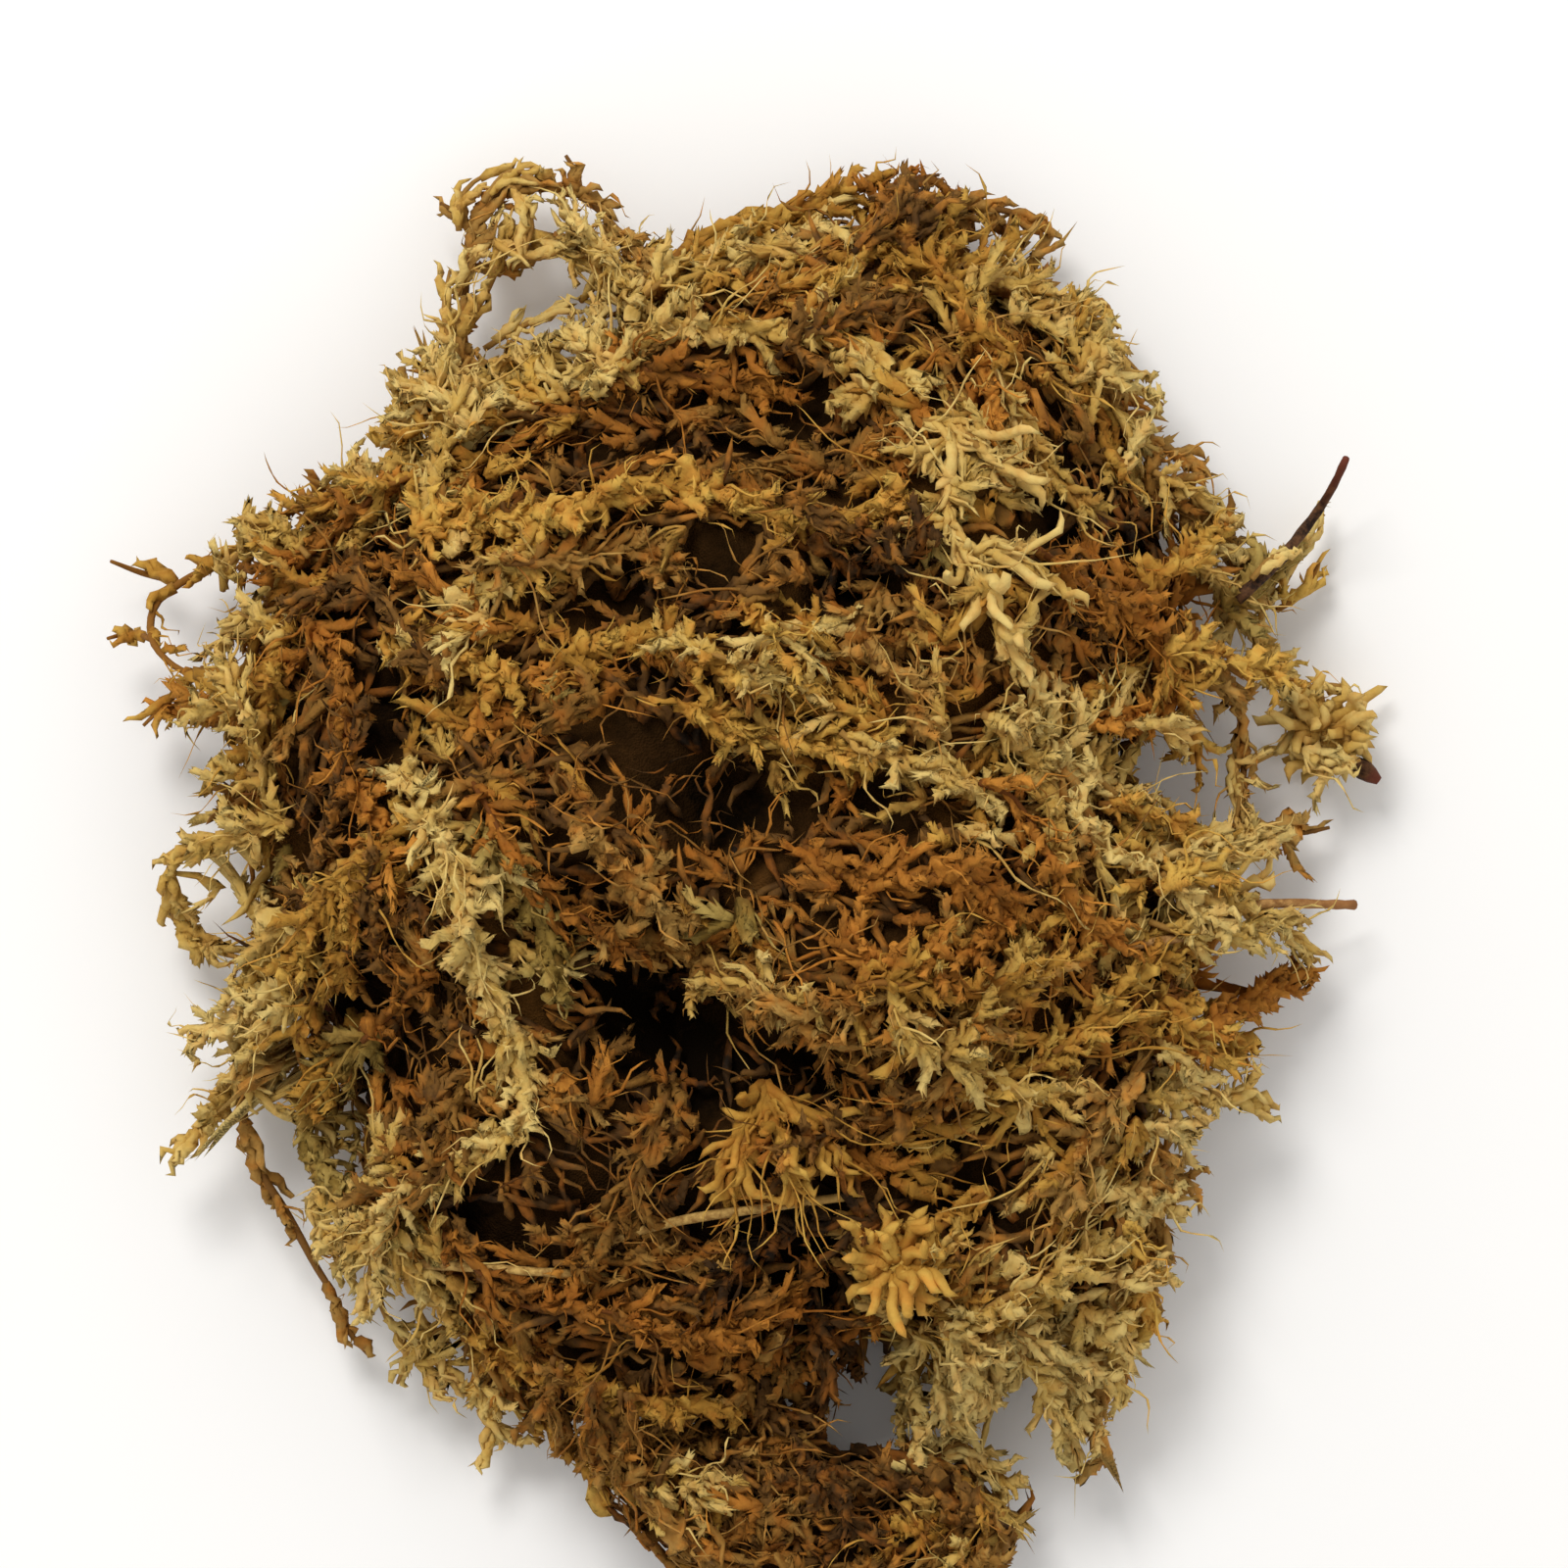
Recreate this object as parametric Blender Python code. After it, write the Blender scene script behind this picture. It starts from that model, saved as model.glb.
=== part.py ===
"""A dried clump of sphagnum moss, lying as it was picked up.

A lumpy mat of older moss rests on a small flat spot. Leafy strands are draped over it and hang
round its rim, each a stem with side branches, some ending in a crowded head. A few bits of
litter lie among them. Lengths are in millimetres until a mesh is made. +Y runs along the clump
and +Z is up, from the middle of the flat spot.
"""

import math
import random
from typing import NamedTuple

import bmesh
import bpy
import numpy as np
from mathutils import Matrix, Vector, noise
from mathutils.bvhtree import BVHTree

MM = 0.001
SEED = 11
NOISE_SEED = 1795596061
NOBODY = -2

# Driving dimensions of the mat
MAT_MIDDLE = Vector((-2.0, 7.0, 0.0))
MAT_RIM_HEIGHT = 9.0
MAT_DOME_HEIGHT = 27.0
MAT_DOME_FULLNESS = 2.6
MAT_DOME_ROUNDNESS = 0.62
MAT_FLAT_SHARE = 0.3
MAT_SINK = 1.5
MAT_RELIEF_SPREAD = 0.7
MAT_ROUGHNESS = 2.3
MAT_GRAIN = 7.0

# How far the mat reaches from its middle, as degrees round from +X and a length
MAT_REACH = (
    (0, 42), (5, 40), (12, 47), (25, 53), (40, 57), (58, 62), (78, 63), (88, 58), (97, 56),
    (106, 48), (125, 50), (140, 50), (150, 54), (160, 51), (170, 51), (185, 49), (195, 50),
    (203, 49), (212, 45), (225, 51), (234, 58), (245, 60), (258, 64), (268, 66), (275, 60),
    (282, 52), (292, 60), (300, 65), (308, 67), (315, 62), (328, 54), (344, 51), (354, 48), (360, 42),
)

# How far the branches round the rim reach, in the same way
RIM_REACH = (
    (0, 62), (8, 68), (20, 62), (38, 61), (50, 64), (62, 69), (78, 69), (88, 61.5), (93, 59),
    (97, 60), (104, 67), (112, 66), (118, 60), (135, 54), (150, 59), (165, 62), (176, 54),
    (190, 57), (205, 62), (225, 62), (240, 66), (248, 69), (255, 68), (264, 73), (270, 79),
    (286, 82), (299, 79), (308, 71), (318, 64), (330, 60), (345, 63), (360, 62),
)

# Hollows and lumps in the mat's top, as x, y, how wide and how high
MAT_RELIEF = (
    (-20, 43, 6.5, -7), (-6, 46, 6, -6), (4, 45, 8, -8), (-40, 30, 4, -4), (-33, 18, 5, -7),
    (-14, 31, 5, -6), (-8, 26, 5, -5), (12, 31, 5, -7), (37, 39, 6, -6), (32, 47, 5, -5),
    (43, 25, 4.5, -5), (12, 61, 5, -4), (0, 11, 7, -6), (12, 8, 6, -7), (-9, -10, 7, -13),
    (-4, -18, 6, -9), (8, -20, 5, -6), (20, -28, 6, -7), (-19, -3, 4, -5), (-36, -11, 6, -5),
    (-34, -20, 5, -6), (-20, -23, 4, -5), (7, -48, 6, -8), (-11, -35, 6, -4), (-14, -43, 5, -4),
    (30, 14, 4, -5), (-20, 36.5, 6, 5), (-6, 39.5, 7, 4), (14, -5, 10, 5), (19, -13, 7, 3),
    (-30, 0, 7, 5), (-42, -2, 5, 3), (14, -39, 6, 4), (30, -44, 9, 5), (22, 47, 7, 4),
    (24, 28, 7, 4), (31, 5, 6, 4), (-14, 3, 6, 4), (-2, 20, 6, 3), (-21, -39, 6, 3),
    (-12, -50, 7, 3), (2, -26, 5, 3),
)

# The lower lobe at the mat's foot
LOBE_MIDDLE = Vector((6.0, -66.0, 11.0))
LOBE_HALF_SIZE = Vector((22.0, 8.5, 8.5))
LOBE_TURN = math.radians(-9)

# Stems, branches and the room between pieces
STEM_RADIUS = 0.8
STEM_STEP = 3.5
STEM_SLOPE = 0.75
HANG_HEIGHT = 6.5
HANG_CHANGE = 5.0
HANG_GRAIN = 17.0
SEAT_GAP = 0.32
OWN_GAP = 0.15
BRANCH_SPACING = 3.3
BRANCH_LENGTH = (6.0, 11.0)
BRANCH_RADIUS = 0.65
BRANCH_ROOT_RADIUS = 0.4
BRANCH_LEAN = (35, 80)
BRANCH_RISE = (-25, 60)
BRANCH_BEND = 0.35
BRANCH_TRIES = 16
LAY_TRIES = 40
BRANCH_RADII = (BRANCH_ROOT_RADIUS, BRANCH_RADIUS, 0)
BRANCH_THICKNESS = (BRANCH_RADIUS, BRANCH_RADIUS, 0.35)
FORK_TIP_RADIUS = 0.35
FLOOR_ROOM = 0.9
TUFT_COUNT = 238
TUFT_SINK = 1.4
TUFT_RADIUS = 0.75
HEAD_CORE_SHARE = 0.48
HEAD_BRANCHES = 22

COLOURS = {
    "straw": (0.50, 0.36, 0.15),
    "gold": (0.36, 0.20, 0.055),
    "tan": (0.27, 0.16, 0.055),
    "rust": (0.22, 0.075, 0.016),
    "umber": (0.06, 0.03, 0.012),
    "grey_green": (0.21, 0.16, 0.07),
}


class Strand(NamedTuple):
    """A leafy stem: the way it lies as x, y and any extra height, its forks and its head's radius."""

    name: str
    colour: str
    route: tuple
    forks: tuple = ()
    head: float = 0.0


# The strands in the order they lie, lowest first
STRANDS = (
    Strand("hollow_rust_strand", "rust", ((-16, 53), (-6, 51.5), (4, 50))),
    Strand("west_rust_strand", "rust", ((-44, 24), (-50, 20), (-56, 17.5), (-62, 17.5))),
    Strand(
        "west_curtain_strand", "gold",
        ((-42, 32), (-46, 27), (-48.5, 21), (-49.5, 15), (-51, 9)),
    ),
    Strand("west_inner_strand", "rust", ((-45, 27), (-41, 22), (-40, 16), (-40, 11), (-37, 6))),
    Strand("north_east_rust_strand", "rust", ((24.5, 57), (25, 51), (25, 45))),
    Strand(
        "east_rust_strand", "rust",
        ((29, 34), (35, 30), (41, 26), (44.5, 21.5), (42, 17), (36, 16)),
    ),
    Strand(
        "middle_rust_strand", "rust",
        ((7, 2), (14, 0), (21, 1), (26, -2), (23, -7), (16, -8.5), (9, -6)),
    ),
    Strand("south_rust_strand", "rust", ((-14, -44), (-6, -46), (2, -44), (7, -40))),
    Strand("south_east_rust_strand", "rust", ((41, -17), (46, -16), (50, -13), (55, -11), (59, -10))),
    Strand(
        "left_loop_strand", "gold",
        (
            (-39, 37), (-45, 38.5), (-50, 36), (-56, 32), (-60, 29.5), (-61.2, 26), (-59.5, 23),
            (-56, 21), (-48, 20),
        ),
        forks=(
            ((-59, 31), (-63, 32, 1), (-65.5, 33, 2)),
            ((-61, 26), (-64, 25.5, 1), (-65.8, 25, 1)),
        ),
    ),
    Strand(
        "lace_strand", "tan",
        (
            (-28, 47), (-29.5, 54), (-29, 60), (-28.5, 66), (-27, 70), (-21.5, 71.5), (-16, 70),
            (-8, 61),
        ),
        forks=(
            ((-28.7, 63), (-24, 63.5), (-20, 66), (-15.5, 67)),
            ((-18, 71), (-17.5, 73, 1), (-18.5, 74.8, 2)),
            ((-28, 68), (-31, 69.5), (-31.5, 70)),
        ),
    ),
    Strand("lace_net_strand", "straw", ((-30, 55), (-26, 62.5), (-24, 68), (-19.5, 65), (-13, 66))),
    Strand(
        "north_crest_strand", "gold",
        ((-9, 60), (-6.5, 65), (-2.5, 67), (4, 68.5), (8.5, 70.5), (15, 72.5)),
    ),
    Strand("north_east_crest_strand", "tan", ((17, 66), (22, 69.5), (28, 69), (32, 67))),
    Strand("north_tuft_strand", "gold", ((6, 57), (10, 62), (14, 65.5), (18, 70))),
    Strand(
        "arch_west_strand", "straw",
        ((-33, 36), (-31, 44), (-29, 49.5), (-24, 53), (-19, 55.5), (-15, 55.5)),
    ),
    Strand(
        "arch_east_strand", "straw",
        ((-12, 56), (-1, 56), (9, 55), (14, 52), (18.5, 49.5)),
        forks=(
            ((15, 51.5), (13, 49.5, 1), (10.5, 48.8, 1)),
            ((8.5, 55), (8.3, 58, 1), (8.8, 60.5, 2)),
        ),
    ),
    Strand("north_west_flank_strand", "straw", ((-35.5, 53), (-35, 47), (-36, 40), (-40, 34))),
    Strand(
        "ridge_strand", "gold",
        (
            (-34, 35.5), (-28, 36.5), (-20, 37), (-14, 39), (-8, 40), (-2, 39.5), (4, 36.5),
            (11, 36), (16, 39),
        ),
        forks=(((-20, 37), (-22, 33), (-23.5, 30)),),
    ),
    Strand(
        "east_fork_strand", "straw",
        ((18, 46.5), (22, 46), (24.5, 42.5), (28.5, 41)),
        forks=(((22, 46), (19, 43.5, 1), (17.5, 42, 1)),),
    ),
    Strand(
        "pale_strand", "straw",
        ((20, 40), (21.5, 34), (24, 30), (26.5, 25), (28, 20)),
        forks=(
            ((22, 33.5), (27, 33.2, 1), (30.5, 30.5, 1)),
            ((21, 36), (18.5, 36.5, 1), (16.5, 34.5, 1)),
        ),
    ),
    Strand("middle_tuft_strand", "tan", ((14, 30), (12, 25.5), (14, 21.5), (19, 19))),
    Strand("west_ridge_strand", "gold", ((-37, 26), (-33, 23.5), (-28, 22), (-23, 20))),
    Strand("middle_ridge_strand", "gold", ((-20, 21), (-14, 24.5), (-6, 23.5), (0, 20.5))),
    Strand("centre_strand", "gold", ((-7, 18), (0, 15.5), (7, 14), (15, 13.5))),
    Strand("east_pale_strand", "straw", ((24, 17), (28, 14), (31, 8), (32, 2))),
    Strand(
        "hanging_rope_strand", "straw",
        (
            (-34, 13), (-33, 8), (-30, 4), (-28, -2), (-27.5, -7), (-25, -12), (-23, -18),
            (-22, -22), (-24, -26), (-28, -28), (-32, -30),
        ),
    ),
    Strand("rope_side_strand", "grey_green", ((-27, 7), (-23, 0.5), (-20, -5.5), (-18.5, -12))),
    Strand(
        "west_fan_strand", "gold",
        ((-35, 3.5), (-39, 2), (-43, -2.5), (-46, -9)),
        forks=(((-38.5, 2.3), (-40, -4), (-40.5, -10)),),
    ),
    Strand("middle_band_west_strand", "tan", ((-18, 7), (-13, 2), (-7, -3.5))),
    Strand(
        "middle_band_strand", "tan",
        ((-16, -4.5), (-6, -7), (0, -10.5), (7, -15), (14, -16), (24, -14), (30, -9)),
    ),
    Strand(
        "south_fan_strand", "gold",
        ((2, -20), (0, -26), (-1, -31)),
        forks=(((1.5, -21.5), (3.5, -26), (5, -31)), ((2, -20.5), (6, -23.5), (9, -28))),
    ),
    Strand("south_head_strand", "gold", ((25, -31), (19.5, -35), (15, -38.5)), head=5.0),
    Strand("south_east_sheaf_strand", "straw", ((20, -47), (25, -43), (32, -39.5), (38, -36))),
    Strand("south_edge_strand", "straw", ((25, -48), (31, -47), (37, -44))),
    Strand("hay_strand", "tan", ((39, -20), (34.5, -26), (32, -33))),
    Strand("south_band_strand", "gold", ((-29, -47), (-20, -50), (-11, -53), (-2, -54))),
    Strand(
        "south_west_strand", "grey_green",
        ((-37, -14), (-42, -20), (-45.5, -25.5), (-43, -31), (-38, -34), (-33, -36)),
    ),
    Strand("south_west_edge_strand", "straw", ((-37, -34), (-34.5, -39.5), (-30, -45.5))),
    Strand(
        "west_chain_strand", "straw",
        ((-46, -3), (-50, -9), (-51.5, -15), (-52, -22), (-55, -24.5), (-59, -29)),
    ),
    Strand(
        "west_fringe_strand", "straw",
        ((-46, 6), (-52, 5), (-58, 3), (-59.5, -1), (-57.5, -6), (-52, -8)),
    ),
    Strand(
        "long_hanging_strand", "tan",
        (
            (-51.8, -20), (-51.5, -25), (-50, -30), (-47, -35), (-45, -39), (-43, -42),
            (-41.5, -46), (-39, -49),
        ),
    ),
    Strand(
        "east_shoulder_strand", "tan",
        ((26, 61), (31, 58.5), (34.5, 54), (38, 49), (42, 45), (47, 43)),
    ),
    Strand("east_edge_strand", "tan", ((41, 42), (45, 39), (49, 35.5), (53, 30))),
    Strand(
        "east_rope_strand", "straw",
        ((44, 34), (49.5, 30.5), (53, 25), (56, 20), (59.5, 15.5)),
        head=5.0,
    ),
    Strand("east_tuft_strand", "grey_green", ((49, 27), (53.5, 31), (57, 34.5, 1))),
    Strand(
        "east_hanging_strand", "tan",
        ((44, 25), (48.5, 22), (51, 17), (51.5, 12), (51, 7), (51.5, 3)),
        forks=(((51, 7.5), (55, 5), (58, 5), (60.5, 5.5)),),
    ),
    Strand("east_curl_strand", "straw", ((42, -1), (47, 0.5), (51, -1), (54, -4.5), (57, -6), (59, -8.5))),
    Strand("east_low_strand", "straw", ((40, -22), (47, -22.5), (53, -22), (54, -24))),
    Strand(
        "south_east_flank_strand", "tan",
        ((42, -27), (42, -36), (42, -43), (39, -50), (35.5, -55), (37, -59.5)),
        forks=(((40.5, -30), (45, -30.5), (46, -30.5)),),
    ),
    Strand("lobe_upper_strand", "umber", ((27, -66.5), (20, -63), (12, -61), (4, -61.5))),
    Strand(
        "lobe_lower_strand", "tan",
        ((-14, -59), (-9, -64.5), (-1, -70.5), (9, -73), (18, -72.5), (26, -69)),
    ),
    Strand("lobe_west_strand", "gold", ((-29, -48), (-24, -53.5), (-19, -57.5), (-14, -61))),
)


class Litter(NamedTuple):
    """A bare bit of wood, root or stem: the way it lies and its thickness at both ends."""

    name: str
    colour: str
    route: tuple
    radii: tuple


LITTER = (
    Litter(
        "dark_twig", "umber",
        ((50.5, 29), (54.5, 32.5, 1), (57.5, 36, 2), (60, 39.5, 4), (61.8, 43.5, 6)),
        (0.7, 0.4),
    ),
    Litter("bare_brown_stem", "tan", ((38, -6.5), (45, -5.5), (52, -2.5), (63, -2.5)), (0.5, 0.5)),
    Litter("west_pale_stem", "straw", ((-33, -39), (-20, -39.5), (-14, -40)), (0.5, 0.45)),
    Litter("south_pale_stem", "straw", ((-16, -37), (-6, -34), (4, -32.5), (12, -31.5)), (0.5, 0.45)),
    Litter("dark_root", "umber", ((-49, -6), (-46, -10), (-42.5, -13)), (0.6, 0.4)),
    Litter("dark_bud", "umber", ((61.6, 13.4), (63.6, 11.8), (65.6, 10.3)), (0.35, 1.1)),
)


def eased(share):
    """A share from 0 to 1 with a gentle start and end."""
    share = min(max(share, 0.0), 1.0)
    return share * share * (3 - 2 * share)


def reach_at(turn, outline):
    """How far an outline reaches from the mat's middle in the direction of an angle."""
    degrees = math.degrees(turn) % 360
    for (before, near), (after, far) in zip(outline, outline[1:]):
        if before <= degrees <= after:
            return near + (far - near) * eased((degrees - before) / (after - before))
    return outline[0][1]


def past_rim(point):
    """How far a point lies beyond the reach of the rim's branches, below zero within it."""
    away = Vector(point) - MAT_MIDDLE
    return away.xy.length - reach_at(math.atan2(away.y, away.x), RIM_REACH)


def mat_relief(place):
    """How far the hollows and lumps lower or raise the mat's top at a place."""
    total = 0.0
    for x, y, width, rise in MAT_RELIEF:
        away = ((place.x - x) ** 2 + (place.y - y) ** 2) / (MAT_RELIEF_SPREAD * width) ** 2
        total += rise * math.exp(-away / 2)
    return total


def mat_point(on_ball):
    """Where a point of the unit ball goes on the mat."""
    share = math.sqrt(max(0.0, 1 - abs(on_ball.z)))
    turn = math.atan2(on_ball.y, on_ball.x)
    outward = Vector((math.cos(turn), math.sin(turn), 0))
    place = MAT_MIDDLE + reach_at(turn, MAT_REACH) * share * outward
    if on_ball.z >= 0:
        dome = (1 - share**MAT_DOME_FULLNESS) ** MAT_DOME_ROUNDNESS
        near_rim = eased(3 * (1 - share))
        place.z = MAT_RIM_HEIGHT + MAT_DOME_HEIGHT * dome + mat_relief(place) * near_rim
    else:
        under = eased((share - MAT_FLAT_SHARE) / (1 - MAT_FLAT_SHARE))
        place.z = -MAT_SINK + (MAT_RIM_HEIGHT + MAT_SINK) * under
    if on_ball.z >= 0 or share > MAT_FLAT_SHARE + 0.15:
        place += MAT_ROUGHNESS * noise.noise_vector(place / MAT_GRAIN)
    return place


def ball(subdivisions):
    mesh = bmesh.new()
    bmesh.ops.create_icosphere(mesh, subdivisions=subdivisions, radius=1)
    return mesh


def mat_body():
    """The mat's closed surface, cut flat where it rests."""
    mesh = ball(4)
    for vertex in mesh.verts:
        vertex.co = mat_point(vertex.co)
    cut = bmesh.ops.bisect_plane(
        mesh,
        geom=mesh.verts[:] + mesh.edges[:] + mesh.faces[:],
        plane_co=(0, 0, 0),
        plane_no=(0, 0, 1),
        clear_inner=True,
    )
    rim = [piece for piece in cut["geom_cut"] if isinstance(piece, bmesh.types.BMEdge)]
    bmesh.ops.contextual_create(mesh, geom=rim)
    bmesh.ops.triangulate(mesh, faces=mesh.faces[:])
    bmesh.ops.recalc_face_normals(mesh, faces=mesh.faces[:])
    return mesh


def lobe_body():
    """The closed surface of the lower lobe."""
    mesh = ball(3)
    turn = Matrix.Rotation(LOBE_TURN, 3, "Z")
    for vertex in mesh.verts:
        place = LOBE_MIDDLE + turn @ (vertex.co * LOBE_HALF_SIZE)
        vertex.co = place + MAT_ROUGHNESS * noise.noise_vector(place / MAT_GRAIN)
    return mesh


def smooth_route(route, step):
    """Evenly spaced points on a smooth curve through the chosen ones, with the extra height as z."""
    chosen = [Vector((*point, 0)[:3]) for point in route]
    chosen = [2 * chosen[0] - chosen[1]] + chosen + [2 * chosen[-1] - chosen[-2]]
    fine = []
    for a, b, c, d in zip(chosen, chosen[1:], chosen[2:], chosen[3:]):
        for share in np.arange(0, 1, 0.05):
            curve = 2 * b + (c - a) * share + (2 * a - 5 * b + 4 * c - d) * share**2
            fine.append((curve + (3 * b - a - 3 * c + d) * share**3) / 2)
    fine.append(chosen[-2])
    fine = np.array(fine)
    lengths = np.concatenate([[0], np.cumsum(np.linalg.norm(np.diff(fine, axis=0), axis=1))])
    count = max(3, round(lengths[-1] / step) + 1)
    wanted = np.linspace(0, lengths[-1], count)
    return np.column_stack([np.interp(wanted, lengths, fine[:, axis]) for axis in range(3)])


class Tangle:
    """All that is laid so far, as straight runs with a thickness, and the room left round it."""

    def __init__(self, bodies):
        self.trees = [BVHTree.FromBMesh(body) for body in bodies]
        self.runs = np.empty((0, 7))
        self.owners = np.empty(0, int)

    def add(self, points, radii, owner):
        thickest = np.maximum(radii[:-1], radii[1:])
        runs = np.column_stack([points[:-1], points[1:], thickest])
        self.runs = np.vstack([self.runs, runs])
        self.owners = np.concatenate([self.owners, np.full(len(runs), owner)])

    def top(self, point):
        """The height of the mat or the lobe under a point, or that of a strand hanging free."""
        above = Vector((point[0], point[1], 100))
        hits = [tree.ray_cast(above, Vector((0, 0, -1)))[0] for tree in self.trees]
        free = HANG_HEIGHT + HANG_CHANGE * noise.noise(above / HANG_GRAIN)
        return max([hit.z for hit in hits if hit] + [free])

    def bodies_room(self, point):
        """How far a point is from the mat and the lobe, below zero inside them."""
        rooms = []
        for tree in self.trees:
            distance = tree.find_nearest(Vector(point))[3]
            normal = tree.ray_cast(Vector(point), Vector((0, 0, 1)))[1]
            inside = normal is not None and normal.z > 0
            rooms.append(-distance if inside else distance)
        return min(rooms)

    def room(self, points, owner, with_bodies=True):
        """How far each point is from all that belongs to another owner."""
        rooms = np.full(len(points), 1e3)
        if with_bodies:
            rooms = np.array([self.bodies_room(point) for point in points])
        others = self.runs[self.owners != owner]
        if len(others):
            along = others[:, 3:6] - others[:, :3]
            away = points[:, None] - others[None, :, :3]
            share = (away * along).sum(2) / np.maximum((along**2).sum(1), 1e-9)
            nearest = away - np.clip(share, 0, 1)[:, :, None] * along
            rooms = np.minimum(rooms, (np.linalg.norm(nearest, axis=2) - others[:, 6]).min(1))
        return rooms


def lay(route, radius, owner, tangle, root=None):
    """The points of a stem draped over the mat and over the stems laid before it."""
    points = smooth_route(route, STEM_STEP)
    for point in points:
        point[2] += tangle.top(point) + radius + SEAT_GAP
    if root is not None:
        points[0] = root
    drop = STEM_SLOPE * STEM_STEP
    for _ in range(LAY_TRIES):
        middles = (points[:-1] + points[1:]) / 2
        lack = radius + SEAT_GAP - tangle.room(points, owner)
        between = radius + SEAT_GAP - tangle.room(middles, owner)
        lack[:-1] = np.maximum(lack[:-1], between)
        lack[1:] = np.maximum(lack[1:], between)
        if root is not None:
            lack[0] = 0
        if lack.max() <= 0:
            break
        points[:, 2] += np.maximum(lack, 0) * 1.1
        for step in range(1, len(points)):
            points[step, 2] = max(points[step, 2], points[step - 1, 2] - drop)
        for step in range(len(points) - 2, 0 if root is not None else -1, -1):
            points[step, 2] = max(points[step, 2], points[step + 1, 2] - drop)
    return points


def branch_path(root, forward, chance, reach):
    """A bent branch that leaves its stem sideways, as three points."""
    side = Vector((-forward.y, forward.x, 0)).normalized() * chance.choice((-1, 1))
    lean = math.radians(chance.uniform(*BRANCH_LEAN))
    rise = math.radians(chance.uniform(*BRANCH_RISE))
    way = forward * math.cos(lean) + side * math.sin(lean) * math.cos(rise)
    way.z += math.sin(rise)
    way.normalize()
    bend = Vector([chance.uniform(-BRANCH_BEND, BRANCH_BEND) for _ in range(3)])
    length = chance.uniform(*reach)
    middle = root + way * length * 0.45
    return np.array([root, middle, middle + (way + bend).normalized() * length * 0.55])


def sampled(path):
    """Closely spaced points along a branch, with its thickness at each."""
    shares = np.linspace(0.1, 1, 11)
    knots = (0, 0.5, 1)
    spots = np.column_stack([np.interp(shares, knots, path[:, axis]) for axis in range(3)])
    return spots, np.interp(shares, knots, (BRANCH_ROOT_RADIUS, BRANCH_RADIUS, 0.1))


def fits(path, owner, tangle, with_bodies=True):
    """Whether a branch has room all along, off the ground and clear of its own strand further out."""
    spots, thick = sampled(path)
    if (spots[:, 2] - thick).min() < FLOOR_ROOM or past_rim(spots[-1]) > 0:
        return False
    if (tangle.room(spots, owner, with_bodies) - thick).min() < SEAT_GAP:
        return False
    outer = len(spots) // 2
    return (tangle.room(spots[outer:], NOBODY, with_bodies=False) - thick[outer:]).min() > OWN_GAP


def branches_along(points, owner, chance, tangle):
    """Side branches spaced along a stem, each where there is room for it."""
    grown = []
    lengths = np.concatenate([[0], np.cumsum(np.linalg.norm(np.diff(points, axis=0), axis=1))])
    count = max(2, round(lengths[-1] / BRANCH_SPACING))
    for number in range(count):
        for attempt in range(BRANCH_TRIES):
            at = (number + chance.uniform(0.2, 0.8)) / count * lengths[-1]
            root = Vector([np.interp(at, lengths, points[:, axis]) for axis in range(3)])
            step = min(np.searchsorted(lengths, at), len(points) - 1)
            forward = Vector(points[step] - points[step - 1]).normalized()
            shorter = 1 - 0.4 * attempt / BRANCH_TRIES
            reach = [length * shorter for length in BRANCH_LENGTH]
            path = branch_path(root, forward, chance, reach)
            if fits(path, owner, tangle):
                grown.append(path)
                tangle.add(path, BRANCH_THICKNESS, owner)
                break
    return grown


def with_head(points, radius, owner, tangle):
    """A stem that ends in the middle of its head, high enough for the head's core to clear the rest."""
    core = radius * HEAD_CORE_SHARE
    middle = points[-1].copy()
    while tangle.room(middle[None], owner)[0] < core + SEAT_GAP:
        middle[2] += 0.2
    tangle.add(np.array([middle, middle + (0, 0, 0.1)]), np.full(2, core), owner)
    return np.vstack([points[:-1], middle])


def head_branches(middle, radius, owner, chance, tangle):
    """Short branches that stand out all round from the middle of a head."""
    grown = []
    for number in range(HEAD_BRANCHES):
        height = 1 - 2 * (number + 0.5) / HEAD_BRANCHES
        turn = number * math.pi * (3 - math.sqrt(5))
        flat = math.sqrt(1 - height**2)
        way = Vector((flat * math.cos(turn), flat * math.sin(turn), height * 0.7))
        for attempt in range(BRANCH_TRIES):
            bend = Vector([chance.uniform(-0.4, 0.4) for _ in range(3)])
            tip = middle + way * radius * chance.uniform(0.9, 1.2) * (1 - 0.02 * attempt)
            path = np.array([middle, middle + (way + bend * 0.5) * radius * 0.6, tip + bend])
            if fits(path, owner, tangle):
                grown.append(path)
                tangle.add(path, BRANCH_THICKNESS, owner)
                break
    return grown


def tufts_on(body, owner, chance, tangle, count):
    """Branches that stand out of the mat or the lobe, spread evenly over its surface."""
    grown = []
    faces = sorted(body.faces, key=lambda face: (round(face.calc_center_median().z, 3), face.index))
    faces = [face for face in faces if face.calc_center_median().z > 2]
    chance.shuffle(faces)
    for face in faces:
        if len(grown) == count:
            break
        middle = face.calc_center_median()
        for _ in range(BRANCH_TRIES):
            around = Vector([chance.uniform(-1, 1) for _ in range(3)])
            along = (around - around.dot(face.normal) * face.normal).normalized()
            way = (along + face.normal * chance.uniform(0.35, 0.9)).normalized()
            root = middle - face.normal * TUFT_SINK
            knee = root + way * chance.uniform(*BRANCH_LENGTH) / 2
            path = np.array([root, knee, 2 * knee - root])
            if not fits(path, owner, tangle, with_bodies=False):
                continue
            if tangle.bodies_room(path[2]) < 1.5 or tangle.bodies_room(path[1]) < 0.2:
                continue
            grown.append(path)
            tangle.add(path, BRANCH_THICKNESS, owner)
            break
    return grown


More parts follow.
